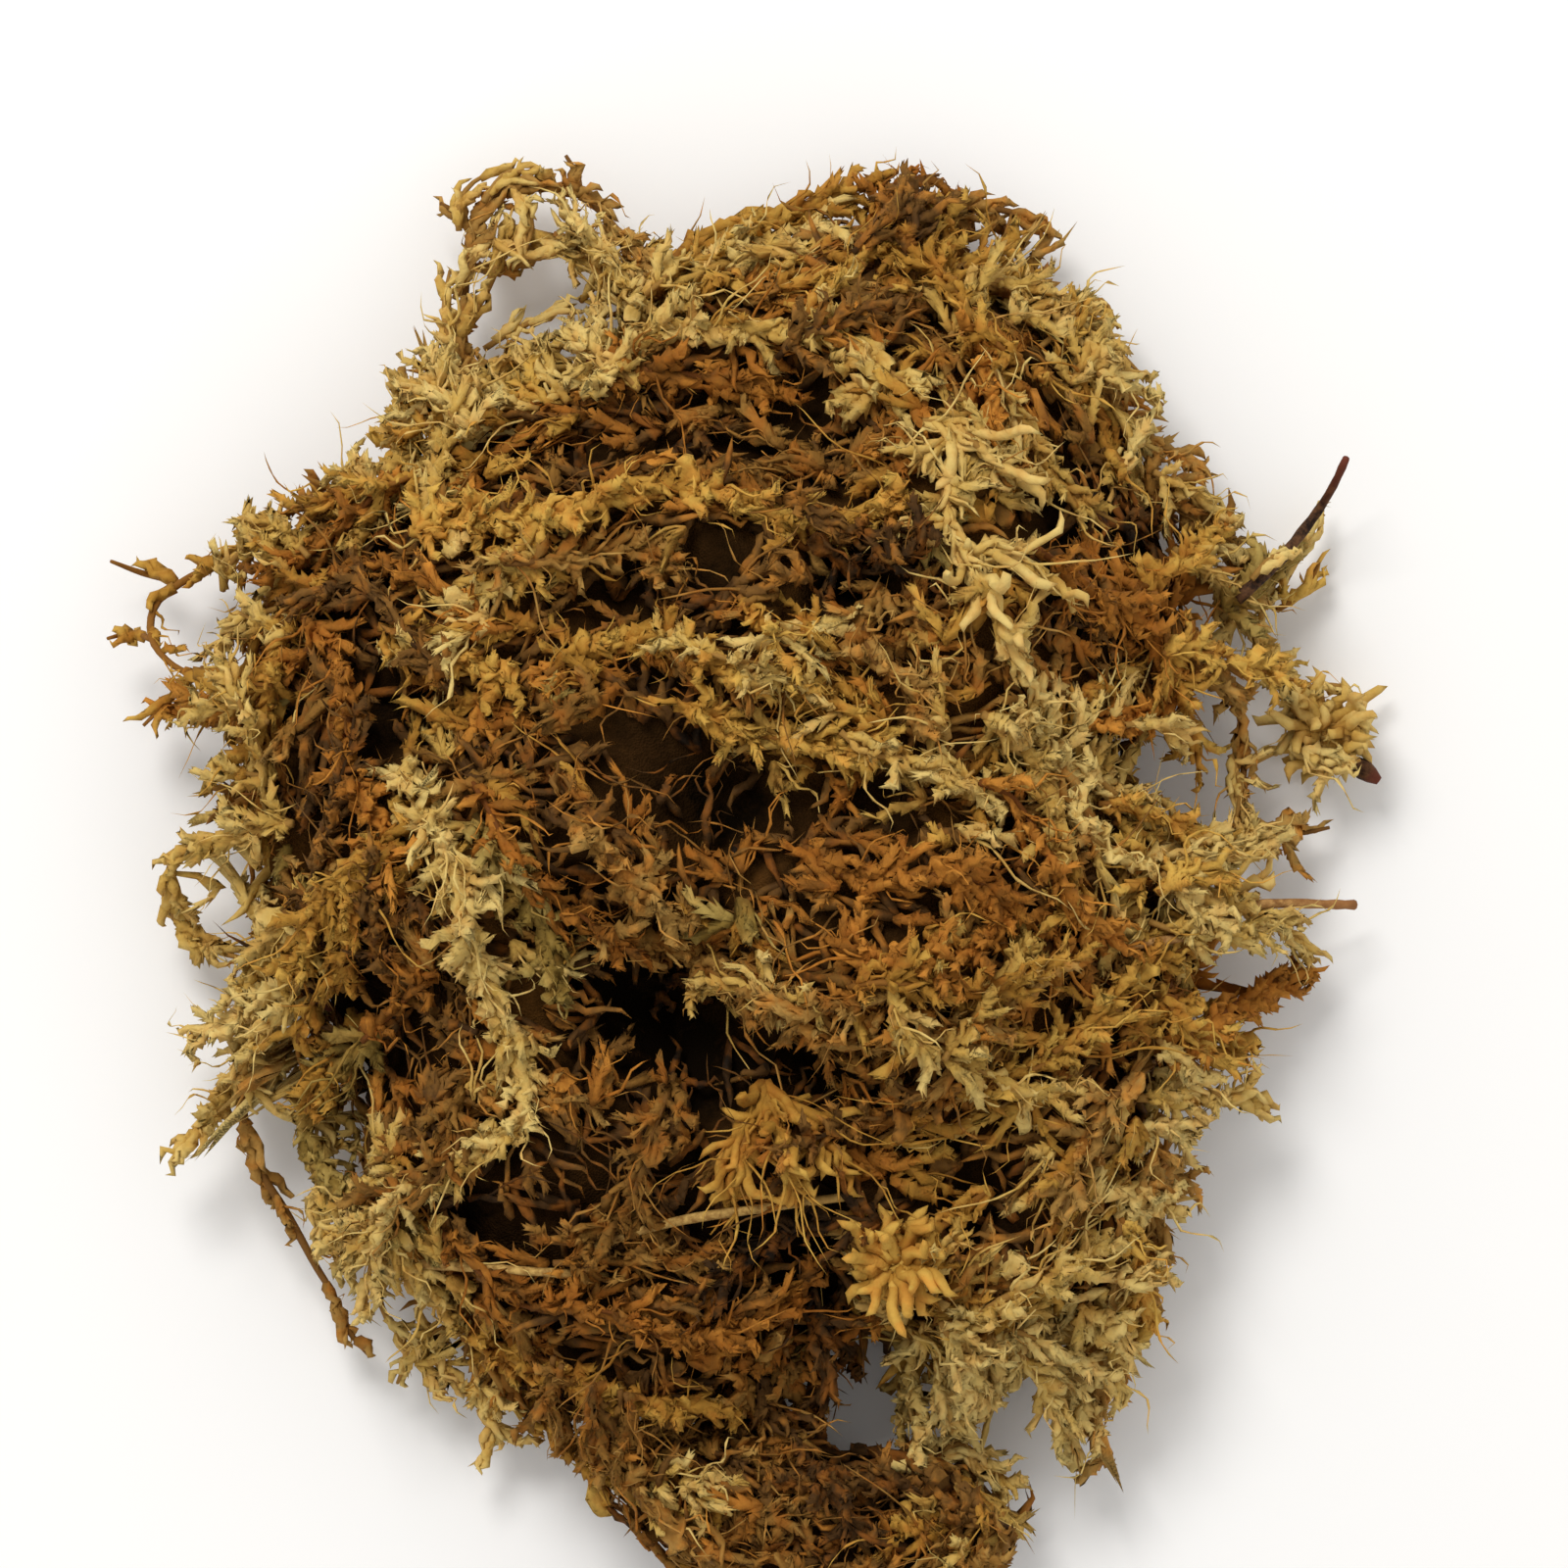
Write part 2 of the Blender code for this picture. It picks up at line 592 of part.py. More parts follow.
def profile(name, sides, guides):
    """A small polygon that a tube is drawn along."""
    curve = bpy.data.curves.new(name, "CURVE")
    curve.dimensions = "2D"
    line = curve.splines.new("POLY")
    line.points.add(sides - 1)
    line.use_cyclic_u = True
    for number, point in enumerate(line.points):
        turn = -2 * math.pi * number / sides
        point.co = (math.cos(turn), math.sin(turn), 0, 1)
    guide = bpy.data.objects.new(name, curve)
    guide.hide_render = True
    guide.display_type = "WIRE"
    guides.objects.link(guide)
    return guide


def tube_curve(name, points, radii, section, home):
    """A tube through the points, on a curve."""
    curve = bpy.data.curves.new(name, "CURVE")
    curve.dimensions = "3D"
    curve.bevel_mode = "OBJECT"
    curve.bevel_object = section
    curve.use_fill_caps = True
    line = curve.splines.new("POLY")
    line.points.add(len(points) - 1)
    for spot, place, radius in zip(line.points, points, radii):
        spot.co = (*(Vector(place) * MM), 1)
        spot.radius = radius * MM
    tube = bpy.data.objects.new(name, curve)
    home.objects.link(tube)
    return tube


def as_meshes(tubes):
    """The tubes made into closed meshes."""
    bpy.context.view_layer.update()
    graph = bpy.context.evaluated_depsgraph_get()
    made = []
    for tube in tubes:
        mesh = bpy.data.meshes.new_from_object(tube.evaluated_get(graph))
        work = bmesh.new()
        work.from_mesh(mesh)
        bmesh.ops.remove_doubles(work, verts=work.verts, dist=1e-6)
        bmesh.ops.recalc_face_normals(work, faces=work.faces)
        work.to_mesh(mesh)
        work.free()
        piece = bpy.data.objects.new(tube.name, mesh)
        tube.users_collection[0].objects.link(piece)
        made.append(piece)
    for tube in tubes:
        bpy.data.objects.remove(tube)
    return made


def solid_from(name, body, home):
    """An object from a closed surface in millimetres."""
    mesh = bpy.data.meshes.new(name)
    bmesh.ops.scale(body, verts=body.verts, vec=(MM, MM, MM))
    body.to_mesh(mesh)
    body.free()
    made = bpy.data.objects.new(name, mesh)
    home.objects.link(made)
    return made


def keep_outside(mesh):
    """Fills hollows that fusing sealed and drops loose scraps, so that only the outer skin is left."""
    work = bmesh.new()
    work.from_mesh(mesh)
    left = set(work.verts)
    groups = []
    while left:
        group = {left.pop()}
        edge = set(group)
        while edge:
            edge = {link.other_vert(vertex) for vertex in edge for link in vertex.link_edges} - group
            group |= edge
        left -= group
        groups.append(group)
    groups.sort(key=len)
    spare = [vertex for group in groups[:-1] for vertex in group]
    bmesh.ops.delete(work, geom=spare, context="VERTS")
    work.to_mesh(mesh)
    work.free()


def fuse(body, home, added):
    """One solid of a body and everything in the collection added, which is emptied."""
    join = body.modifiers.new("join", "BOOLEAN")
    join.operation = "UNION"
    join.operand_type = "COLLECTION"
    join.collection = added
    join.solver = "MANIFOLD"
    bpy.context.view_layer.update()
    graph = bpy.context.evaluated_depsgraph_get()
    mesh = bpy.data.meshes.new_from_object(body.evaluated_get(graph))
    keep_outside(mesh)
    name = body.name
    for spent in [body, *added.objects]:
        bpy.data.objects.remove(spent)
    made = bpy.data.objects.new(name, mesh)
    home.objects.link(made)
    return made


def finish(made, colour, materials):
    made.name = made.name.split(".")[0]
    made.data.name = made.name
    made.data.materials.clear()
    made.data.materials.append(materials[colour])


def material(name, colour):
    made = bpy.data.materials.new(name)
    made.use_nodes = True
    shader = made.node_tree.nodes["Principled BSDF"]
    shader.inputs["Base Color"].default_value = (*colour, 1)
    shader.inputs["Roughness"].default_value = 0.85
    shader.inputs["Metallic"].default_value = 0
    return made


def plan(bodies):
    """The way every stem, head and branch lies, by owner."""
    tangle = Tangle(bodies)
    stems = []
    for owner, strand in enumerate(STRANDS):
        main = lay(strand.route, STEM_RADIUS, owner, tangle)
        if strand.head:
            main = with_head(main, strand.head, owner, tangle)
        tangle.add(main, np.full(len(main), STEM_RADIUS), owner)
        lines = [main]
        for fork in strand.forks:
            nearest = main[np.linalg.norm(main[:, :2] - np.array(fork[0][:2]), axis=1).argmin()]
            line = lay(fork, BRANCH_RADIUS, owner, tangle, root=nearest)
            tangle.add(line, np.full(len(line), BRANCH_RADIUS), owner)
            lines.append(line)
        stems.append(lines)
    bare = []
    for number, litter in enumerate(LITTER):
        owner = len(STRANDS) + number
        line = lay(litter.route, litter.radii[0], owner, tangle)
        tangle.add(line, np.full(len(line), max(litter.radii)), owner)
        bare.append(line)
    branches = []
    for owner, strand in enumerate(STRANDS):
        chance = random.Random(f"{strand.name} {SEED}")
        grown = []
        if strand.head:
            middle = Vector(stems[owner][0][-1])
            grown += head_branches(middle, strand.head, owner, chance, tangle)
        for line in stems[owner]:
            grown += branches_along(line, owner, chance, tangle)
        branches.append(grown)
    chance = random.Random(SEED)
    share = [TUFT_COUNT, TUFT_COUNT // 6]
    tufts = [tufts_on(body, -1, chance, tangle, count) for body, count in zip(bodies, share)]
    return stems, branches, bare, tufts[0] + tufts[1]


def build():
    for old in list(bpy.data.objects):
        bpy.data.objects.remove(old)
    noise.seed_set(NOISE_SEED)
    clump = bpy.data.collections.new("sphagnum_moss_clump")
    guides = bpy.data.collections.new("cutters")
    added = bpy.data.collections.new("to_fuse")
    for group in (clump, guides, added):
        bpy.context.scene.collection.children.link(group)
    square = profile("litter_section", 4, guides)
    triangle = profile("stem_section", 3, guides)
    materials = {name: material(f"moss_{name}", colour) for name, colour in COLOURS.items()}

    bodies = [mat_body(), lobe_body()]
    stems, branches, bare, tufts = plan(bodies)

    mat = solid_from("matted_moss", bodies[0], clump)
    solid_from("lobe", bodies[1], added)
    as_meshes([tube_curve("tuft", path[::2], (TUFT_RADIUS, 0), triangle, added) for path in tufts])
    finish(fuse(mat, clump, added), "umber", materials)

    for strand, lines, grown in zip(STRANDS, stems, branches):
        tubes = [tube_curve("stem", lines[0], [STEM_RADIUS] * len(lines[0]), triangle, added)]
        for line in lines[1:]:
            radii = np.linspace(BRANCH_RADIUS, FORK_TIP_RADIUS, len(line))
            tubes.append(tube_curve("fork", line, radii, triangle, added))
        tubes += [tube_curve("branch", path, BRANCH_RADII, triangle, added) for path in grown]
        pieces = as_meshes(tubes)
        if strand.head:
            core = ball(2)
            size = strand.head * HEAD_CORE_SHARE
            place = Matrix.Translation(lines[0][-1]) @ Matrix.Diagonal((size, size, size * 0.8, 1))
            bmesh.ops.transform(core, matrix=place, verts=core.verts)
            solid_from("head", core, added)
        body = pieces[0]
        added.objects.unlink(body)
        clump.objects.link(body)
        body.name = strand.name
        finish(fuse(body, clump, added), strand.colour, materials)

    for litter, line in zip(LITTER, bare):
        radii = np.linspace(*litter.radii, len(line))
        made = as_meshes([tube_curve(litter.name, line, radii, square, clump)])[0]
        finish(made, litter.colour, materials)

    bpy.data.collections.remove(added)


build()
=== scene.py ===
"""Looks of a dried sphagnum moss clump, seen from straight above on a pale floor.

Lengths are in millimetres until a mesh is made. +Y runs along the clump and +Z is up, from the
middle of the flat spot that it rests on.
"""

import math
import random
from typing import NamedTuple

import bmesh
import bpy
import numpy as np
from mathutils import Matrix, Vector, noise
from mathutils.bvhtree import BVHTree


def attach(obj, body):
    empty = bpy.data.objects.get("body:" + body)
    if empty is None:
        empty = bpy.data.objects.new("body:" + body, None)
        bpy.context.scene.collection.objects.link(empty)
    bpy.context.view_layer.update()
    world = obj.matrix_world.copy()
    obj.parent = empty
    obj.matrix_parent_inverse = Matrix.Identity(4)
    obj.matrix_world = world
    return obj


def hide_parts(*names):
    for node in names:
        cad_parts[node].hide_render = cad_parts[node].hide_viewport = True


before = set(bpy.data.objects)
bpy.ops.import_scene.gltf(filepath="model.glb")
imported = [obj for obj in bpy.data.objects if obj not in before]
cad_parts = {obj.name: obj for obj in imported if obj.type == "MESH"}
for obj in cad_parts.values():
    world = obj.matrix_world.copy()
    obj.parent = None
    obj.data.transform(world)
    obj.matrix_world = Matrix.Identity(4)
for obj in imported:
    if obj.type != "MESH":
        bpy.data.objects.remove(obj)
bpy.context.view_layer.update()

MM = 0.001
SEED = 5

# The noise that roughens the mat, as in the solids
NOISE_SEED = 1795596061
noise.seed_set(NOISE_SEED)

# The mat's form
MAT_MIDDLE = Vector((-2.0, 7.0, 0.0))
MAT_RIM_HEIGHT = 9.0
MAT_DOME_HEIGHT = 27.0
MAT_DOME_FULLNESS = 2.6
MAT_DOME_ROUNDNESS = 0.62
MAT_FLAT_SHARE = 0.3
MAT_SINK = 1.5
MAT_RELIEF_SPREAD = 0.7
MAT_ROUGHNESS = 2.3
MAT_GRAIN = 7.0
MAT_REACH = (
    (0, 42), (5, 40), (12, 47), (25, 53), (40, 57), (58, 62), (78, 63), (88, 58), (97, 56),
    (106, 48), (125, 50), (140, 50), (150, 54), (160, 51), (170, 51), (185, 49), (195, 50),
    (203, 49), (212, 45), (225, 51), (234, 58), (245, 60), (258, 64), (268, 66), (275, 60),
    (282, 52), (292, 60), (300, 65), (308, 67), (315, 62), (328, 54), (344, 51), (354, 48), (360, 42),
)
RIM_REACH = (
    (0, 62), (8, 68), (20, 62), (38, 61), (50, 64), (62, 69), (78, 69), (88, 61.5), (93, 59),
    (97, 60), (104, 67), (112, 66), (118, 60), (135, 54), (150, 59), (165, 62), (176, 54),
    (190, 57), (205, 62), (225, 62), (240, 66), (248, 69), (255, 68), (264, 73), (270, 79),
    (286, 82), (299, 79), (308, 71), (318, 64), (330, 60), (345, 63), (360, 62),
)
MAT_RELIEF = (
    (-20, 43, 6.5, -7), (-6, 46, 6, -6), (4, 45, 8, -8), (-40, 30, 4, -4), (-33, 18, 5, -7),
    (-14, 31, 5, -6), (-8, 26, 5, -5), (12, 31, 5, -7), (37, 39, 6, -6), (32, 47, 5, -5),
    (43, 25, 4.5, -5), (12, 61, 5, -4), (0, 11, 7, -6), (12, 8, 6, -7), (-9, -10, 7, -13),
    (-4, -18, 6, -9), (8, -20, 5, -6), (20, -28, 6, -7), (-19, -3, 4, -5), (-36, -11, 6, -5),
    (-34, -20, 5, -6), (-20, -23, 4, -5), (7, -48, 6, -8), (-11, -35, 6, -4), (-14, -43, 5, -4),
    (30, 14, 4, -5), (-20, 36.5, 6, 5), (-6, 39.5, 7, 4), (14, -5, 10, 5), (19, -13, 7, 3),
    (-30, 0, 7, 5), (-42, -2, 5, 3), (14, -39, 6, 4), (30, -44, 9, 5), (22, 47, 7, 4),
    (24, 28, 7, 4), (31, 5, 6, 4), (-14, 3, 6, 4), (-2, 20, 6, 3), (-21, -39, 6, 3),
    (-12, -50, 7, 3), (2, -26, 5, 3),
)
LOBE_MIDDLE = Vector((6.0, -66.0, 11.0))
LOBE_HALF_SIZE = Vector((22.0, 8.5, 8.5))
LOBE_TURN = math.radians(-9)

# How stems lie
STEM_RADIUS = 0.8
STEM_STEP = 3.5
STEM_SLOPE = 0.75
HANG_HEIGHT = 6.5
HANG_CHANGE = 5.0
HANG_GRAIN = 17.0
SEAT_GAP = 0.32
FORK_RADIUS = 0.65
LAY_TRIES = 40
HEAD_CORE_SHARE = 0.48


class Strand(NamedTuple):
    """A leafy stem: the way it lies as x, y and any extra height, its forks and its head's radius."""

    name: str
    colour: str
    route: tuple
    forks: tuple = ()
    head: float = 0.0
    full: float = 1.0
    tone: float = 0.0


# The strands in the order they lie, lowest first
STRANDS = (
    Strand("hollow_rust_strand", "rust", ((-16, 53), (-6, 51.5), (4, 50)), tone=-0.3),
    Strand("west_rust_strand", "rust", ((-44, 24), (-50, 20), (-56, 17.5), (-62, 17.5)), tone=0.2),
    Strand(
        "west_curtain_strand", "gold",
        ((-42, 32), (-46, 27), (-48.5, 21), (-49.5, 15), (-51, 9)),
    ),
    Strand("west_inner_strand", "rust", ((-45, 27), (-41, 22), (-40, 16), (-40, 11), (-37, 6))),
    Strand("north_east_rust_strand", "rust", ((24.5, 57), (25, 51), (25, 45)), tone=0.5),
    Strand(
        "east_rust_strand", "rust",
        ((29, 34), (35, 30), (41, 26), (44.5, 21.5), (42, 17), (36, 16)),
    ),
    Strand(
        "middle_rust_strand", "rust",
        ((7, 2), (14, 0), (21, 1), (26, -2), (23, -7), (16, -8.5), (9, -6)),
    ),
    Strand("south_rust_strand", "rust", ((-14, -44), (-6, -46), (2, -44), (7, -40)), tone=-0.3),
    Strand("south_east_rust_strand", "rust", ((41, -17), (46, -16), (50, -13), (55, -11), (59, -10))),
    Strand(
        "left_loop_strand", "gold",
        (
            (-39, 37), (-45, 38.5), (-50, 36), (-56, 32), (-60, 29.5), (-61.2, 26), (-59.5, 23),
            (-56, 21), (-48, 20),
        ),
        forks=(
            ((-59, 31), (-63, 32, 1), (-65.5, 33, 2)),
            ((-61, 26), (-64, 25.5, 1), (-65.8, 25, 1)),
        ),
        full=0.5,
    ),
    Strand(
        "lace_strand", "tan",
        (
            (-28, 47), (-29.5, 54), (-29, 60), (-28.5, 66), (-27, 70), (-21.5, 71.5), (-16, 70),
            (-8, 61),
        ),
        forks=(
            ((-28.7, 63), (-24, 63.5), (-20, 66), (-15.5, 67)),
            ((-18, 71), (-17.5, 73, 1), (-18.5, 74.8, 2)),
            ((-28, 68), (-31, 69.5), (-31.5, 70)),
        ),
        full=0.75,
        tone=0.3,
    ),
    Strand(
        "lace_net_strand", "straw",
        ((-30, 55), (-26, 62.5), (-24, 68), (-19.5, 65), (-13, 66)),
        full=0.8,
        tone=-0.2,
    ),
    Strand(
        "north_crest_strand", "gold",
        ((-9, 60), (-6.5, 65), (-2.5, 67), (4, 68.5), (8.5, 70.5), (15, 72.5)),
    ),
    Strand("north_east_crest_strand", "tan", ((17, 66), (22, 69.5), (28, 69), (32, 67)), tone=0.4),
    Strand("north_tuft_strand", "gold", ((6, 57), (10, 62), (14, 65.5), (18, 70)), tone=0.4),
    Strand(
        "arch_west_strand", "straw",
        ((-33, 36), (-31, 44), (-29, 49.5), (-24, 53), (-19, 55.5), (-15, 55.5)),
    ),
    Strand(
        "arch_east_strand", "straw",
        ((-12, 56), (-1, 56), (9, 55), (14, 52), (18.5, 49.5)),
        forks=(
            ((15, 51.5), (13, 49.5, 1), (10.5, 48.8, 1)),
            ((8.5, 55), (8.3, 58, 1), (8.8, 60.5, 2)),
        ),
        tone=0.2,
    ),
    Strand("north_west_flank_strand", "straw", ((-35.5, 53), (-35, 47), (-36, 40), (-40, 34)), tone=-0.3),
    Strand(
        "ridge_strand", "gold",
        (
            (-34, 35.5), (-28, 36.5), (-20, 37), (-14, 39), (-8, 40), (-2, 39.5), (4, 36.5),
            (11, 36), (16, 39),
        ),
        forks=(((-20, 37), (-22, 33), (-23.5, 30)),),
        full=1.3,
        tone=0.6,
    ),
    Strand(
        "east_fork_strand", "straw",
        ((18, 46.5), (22, 46), (24.5, 42.5), (28.5, 41)),
        forks=(((22, 46), (19, 43.5, 1), (17.5, 42, 1)),),
        full=0.8,
        tone=0.3,
    ),
    Strand(
        "pale_strand", "straw",
        ((20, 40), (21.5, 34), (24, 30), (26.5, 25), (28, 20)),
        forks=(
            ((22, 33.5), (27, 33.2, 1), (30.5, 30.5, 1)),
            ((21, 36), (18.5, 36.5, 1), (16.5, 34.5, 1)),
        ),
        full=0.8,
        tone=0.5,
    ),
    Strand("middle_tuft_strand", "tan", ((14, 30), (12, 25.5), (14, 21.5), (19, 19)), tone=0.5),
    Strand("west_ridge_strand", "gold", ((-37, 26), (-33, 23.5), (-28, 22), (-23, 20)), tone=0.3),
    Strand("middle_ridge_strand", "gold", ((-20, 21), (-14, 24.5), (-6, 23.5), (0, 20.5)), tone=0.1),
    Strand("centre_strand", "gold", ((-7, 18), (0, 15.5), (7, 14), (15, 13.5)), tone=0.5),
    Strand("east_pale_strand", "straw", ((24, 17), (28, 14), (31, 8), (32, 2)), tone=-0.2),
    Strand(
        "hanging_rope_strand", "straw",
        (
            (-34, 13), (-33, 8), (-30, 4), (-28, -2), (-27.5, -7), (-25, -12), (-23, -18),
            (-22, -22), (-24, -26), (-28, -28), (-32, -30),
        ),
        full=1.5,
        tone=0.5,
    ),
    Strand("rope_side_strand", "grey_green", ((-27, 7), (-23, 0.5), (-20, -5.5), (-18.5, -12)), tone=-0.2),
    Strand(
        "west_fan_strand", "gold",
        ((-35, 3.5), (-39, 2), (-43, -2.5), (-46, -9)),
        forks=(((-38.5, 2.3), (-40, -4), (-40.5, -10)),),
        full=1.4,
        tone=0.1,
    ),
    Strand("middle_band_west_strand", "tan", ((-18, 7), (-13, 2), (-7, -3.5)), tone=0.6),
    Strand(
        "middle_band_strand", "tan",
        ((-16, -4.5), (-6, -7), (0, -10.5), (7, -15), (14, -16), (24, -14), (30, -9)),
        full=1.2,
        tone=0.5,
    ),
    Strand(
        "south_fan_strand", "gold",
        ((2, -20), (0, -26), (-1, -31)),
        forks=(((1.5, -21.5), (3.5, -26), (5, -31)), ((2, -20.5), (6, -23.5), (9, -28))),
        full=0.9,
        tone=0.1,
    ),
    Strand("south_head_strand", "gold", ((25, -31), (19.5, -35), (15, -38.5)), head=5.0, tone=0.6),
    Strand("south_east_sheaf_strand", "straw", ((20, -47), (25, -43), (32, -39.5), (38, -36))),
    Strand("south_edge_strand", "straw", ((25, -48), (31, -47), (37, -44)), tone=0.2),
    Strand("hay_strand", "tan", ((39, -20), (34.5, -26), (32, -33)), tone=0.6),
    Strand("south_band_strand", "gold", ((-29, -47), (-20, -50), (-11, -53), (-2, -54))),
    Strand(
        "south_west_strand", "grey_green",
        ((-37, -14), (-42, -20), (-45.5, -25.5), (-43, -31), (-38, -34), (-33, -36)),
    ),
    Strand("south_west_edge_strand", "straw", ((-37, -34), (-34.5, -39.5), (-30, -45.5)), tone=-0.2),
    Strand(
        "west_chain_strand", "straw",
        ((-46, -3), (-50, -9), (-51.5, -15), (-52, -22), (-55, -24.5), (-59, -29)),
        full=1.2,
    ),
    Strand(
        "west_fringe_strand", "straw",
        ((-46, 6), (-52, 5), (-58, 3), (-59.5, -1), (-57.5, -6), (-52, -8)),
    ),
    Strand(
        "long_hanging_strand", "tan",
        (
            (-51.8, -20), (-51.5, -25), (-50, -30), (-47, -35), (-45, -39), (-43, -42),
            (-41.5, -46), (-39, -49),
        ),
        full=0.45,
        tone=0.2,
    ),
    Strand(
        "east_shoulder_strand", "tan",
        ((26, 61), (31, 58.5), (34.5, 54), (38, 49), (42, 45), (47, 43)),
        tone=0.4,
    ),
    Strand("east_edge_strand", "tan", ((41, 42), (45, 39), (49, 35.5), (53, 30)), tone=0.3),
    Strand(
        "east_rope_strand", "straw",
        ((44, 34), (49.5, 30.5), (53, 25), (56, 20), (59.5, 15.5)),
        head=5.0,
        full=1.2,
    ),
    Strand("east_tuft_strand", "grey_green", ((49, 27), (53.5, 31), (57, 34.5, 1)), full=1.3, tone=-0.3),
    Strand(
        "east_hanging_strand", "tan",
        ((44, 25), (48.5, 22), (51, 17), (51.5, 12), (51, 7), (51.5, 3)),
        forks=(((51, 7.5), (55, 5), (58, 5), (60.5, 5.5)),),
        full=0.6,
        tone=0.4,
    ),
    Strand(
        "east_curl_strand", "straw",
        ((42, -1), (47, 0.5), (51, -1), (54, -4.5), (57, -6), (59, -8.5)),
        full=0.8,
    ),
    Strand("east_low_strand", "straw", ((40, -22), (47, -22.5), (53, -22), (54, -24))),
    Strand(
        "south_east_flank_strand", "tan",
        ((42, -27), (42, -36), (42, -43), (39, -50), (35.5, -55), (37, -59.5)),
        forks=(((40.5, -30), (45, -30.5), (46, -30.5)),),
        tone=0.4,
    ),
    Strand("lobe_upper_strand", "umber", ((27, -66.5), (20, -63), (12, -61), (4, -61.5)), tone=0.5),
    Strand(
        "lobe_lower_strand", "tan",
        ((-14, -59), (-9, -64.5), (-1, -70.5), (9, -73), (18, -72.5), (26, -69)),
    ),
    Strand("lobe_west_strand", "gold", ((-29, -48), (-24, -53.5), (-19, -57.5), (-14, -61))),
)


class Litter(NamedTuple):
    """A bare bit of wood, root or stem: the way it lies and its radii from end to end."""

    name: str
    slot: str
    route: tuple
    radii: tuple


LITTER = (
    Litter(
        "dark_twig", "dark_litter",
        ((50.5, 29), (54.5, 32.5, 1), (57.5, 36, 2), (60, 39.5, 4), (61.8, 43.5, 6)),
        (0.7, 0.4),
    ),
    Litter("bare_brown_stem", "brown_litter", ((38, -6.5), (45, -5.5), (52, -2.5), (63, -2.5)), (0.5, 0.5)),
    Litter("west_pale_stem", "pale_litter", ((-33, -39), (-20, -39.5), (-14, -40)), (0.5, 0.45)),
    Litter(
        "south_pale_stem", "pale_litter",
        ((-16, -37), (-6, -34), (4, -32.5), (12, -31.5)),
        (0.5, 0.45),
    ),
    Litter("dark_root", "dark_litter", ((-49, -6), (-46, -10), (-42.5, -13)), (0.6, 0.4)),
    Litter(
        "dark_bud", "dark_litter",
        ((61.6, 13.4), (63.6, 11.8), (65.6, 10.3)),
        (0.35, 0.4, 1.0, 1.1, 0.45),
    ),
)

# Thin wisps that fill out the rim and the two loops
WISPS = (
    ((-37, -38), (-38, -43), (-35, -48), (-31, -53)),
    ((-34, -44), (-31, -50), (-27, -55), (-24, -58)), ((-28, -50), (-26, -56), (-27, -60)),
    ((-31, -46), (-35, -49), (-36, -52)), ((-41, -30), (-42, -35), (-40, -39)),
    ((-44, -12), (-46, -17), (-44, -21)), ((-42, -24), (-44, -29), (-42, -34)),
    ((-50, -12), (-49, -18), (-50, -23)), ((30, 60), (34, 59), (37, 60), (38.5, 57)),
    ((22, 62), (25, 65), (28, 66)), ((12, 69), (16, 72), (20, 73)), ((14, 70), (19, 71), (22, 70)),
    ((36, 52), (40, 51), (43, 49)), ((42, 42), (46, 40), (49, 38)), ((46, 36), (50, 34), (53, 33)),
    ((-29.5, 67), (-29, 71.5), (-25, 73.5)), ((-27, 70), (-24, 73.5), (-21, 73)),
    ((-29.5, 54), (-31, 58), (-30.5, 63)), ((-27, 55), (-23, 57.5), (-18, 59.5)),
    ((-25, 53), (-20, 56.5), (-16, 57)), ((-17, 60), (-13, 63), (-10, 61)),
    ((-16, 65), (-13, 62.5), (-11, 59)), ((-26, 66), (-22, 64), (-18, 65.5)),
    ((-24, 71.5), (-22, 68), (-23, 64)), ((-19, 71), (-18, 67), (-17, 63)),
    ((-30, 60), (-28, 64), (-26, 68)), ((53, 28), (56, 31), (58, 35), (60, 38)),
    ((52, 31), (55, 34), (57, 34)), ((55, 28), (58, 30), (59.5, 33)),
    ((58, 20), (62, 20), (64, 16)), ((57, 14), (61, 11), (63.5, 12.5)),
    ((38, 16), (42, 16), (45.5, 14.5)), ((36, 8), (41, 7.5), (45, 5.5), (49, 4)),
    ((50, 13), (51, 10), (50.5, 6)), ((40, 2), (45, 3), (49, 5)), ((42, -1), (46, 1.5), (49, 0)),
    ((44, -15), (49, -16), (53, -18)), ((17, -46), (17, -51), (18, -56), (17, -60)),
    ((21, -46), (21, -51), (20, -56)), ((25, -46), (24, -51), (22.5, -55)),
    ((16, -47), (16.5, -52), (16, -57)), ((19, -60), (22, -58), (25, -60)),
    ((22, -60), (26, -61), (28, -63)), ((-52, -20), (-49, -23), (-46, -25)),
    ((-44, -31), (-44, -36), (-41, -41)), ((-48, -22), (-44, -24), (-42, -27)),
    ((46, -12), (50, -15), (52, -19)), ((28, -48), (31, -52), (33, -57)),
    ((32, -48), (34, -53), (33, -56)), ((-56, 22), (-60, 18), (-62, 16)),
    ((-48, 28), (-53, 26), (-54, 22)), ((-54, 30), (-52, 34), (-47, 36)),
)

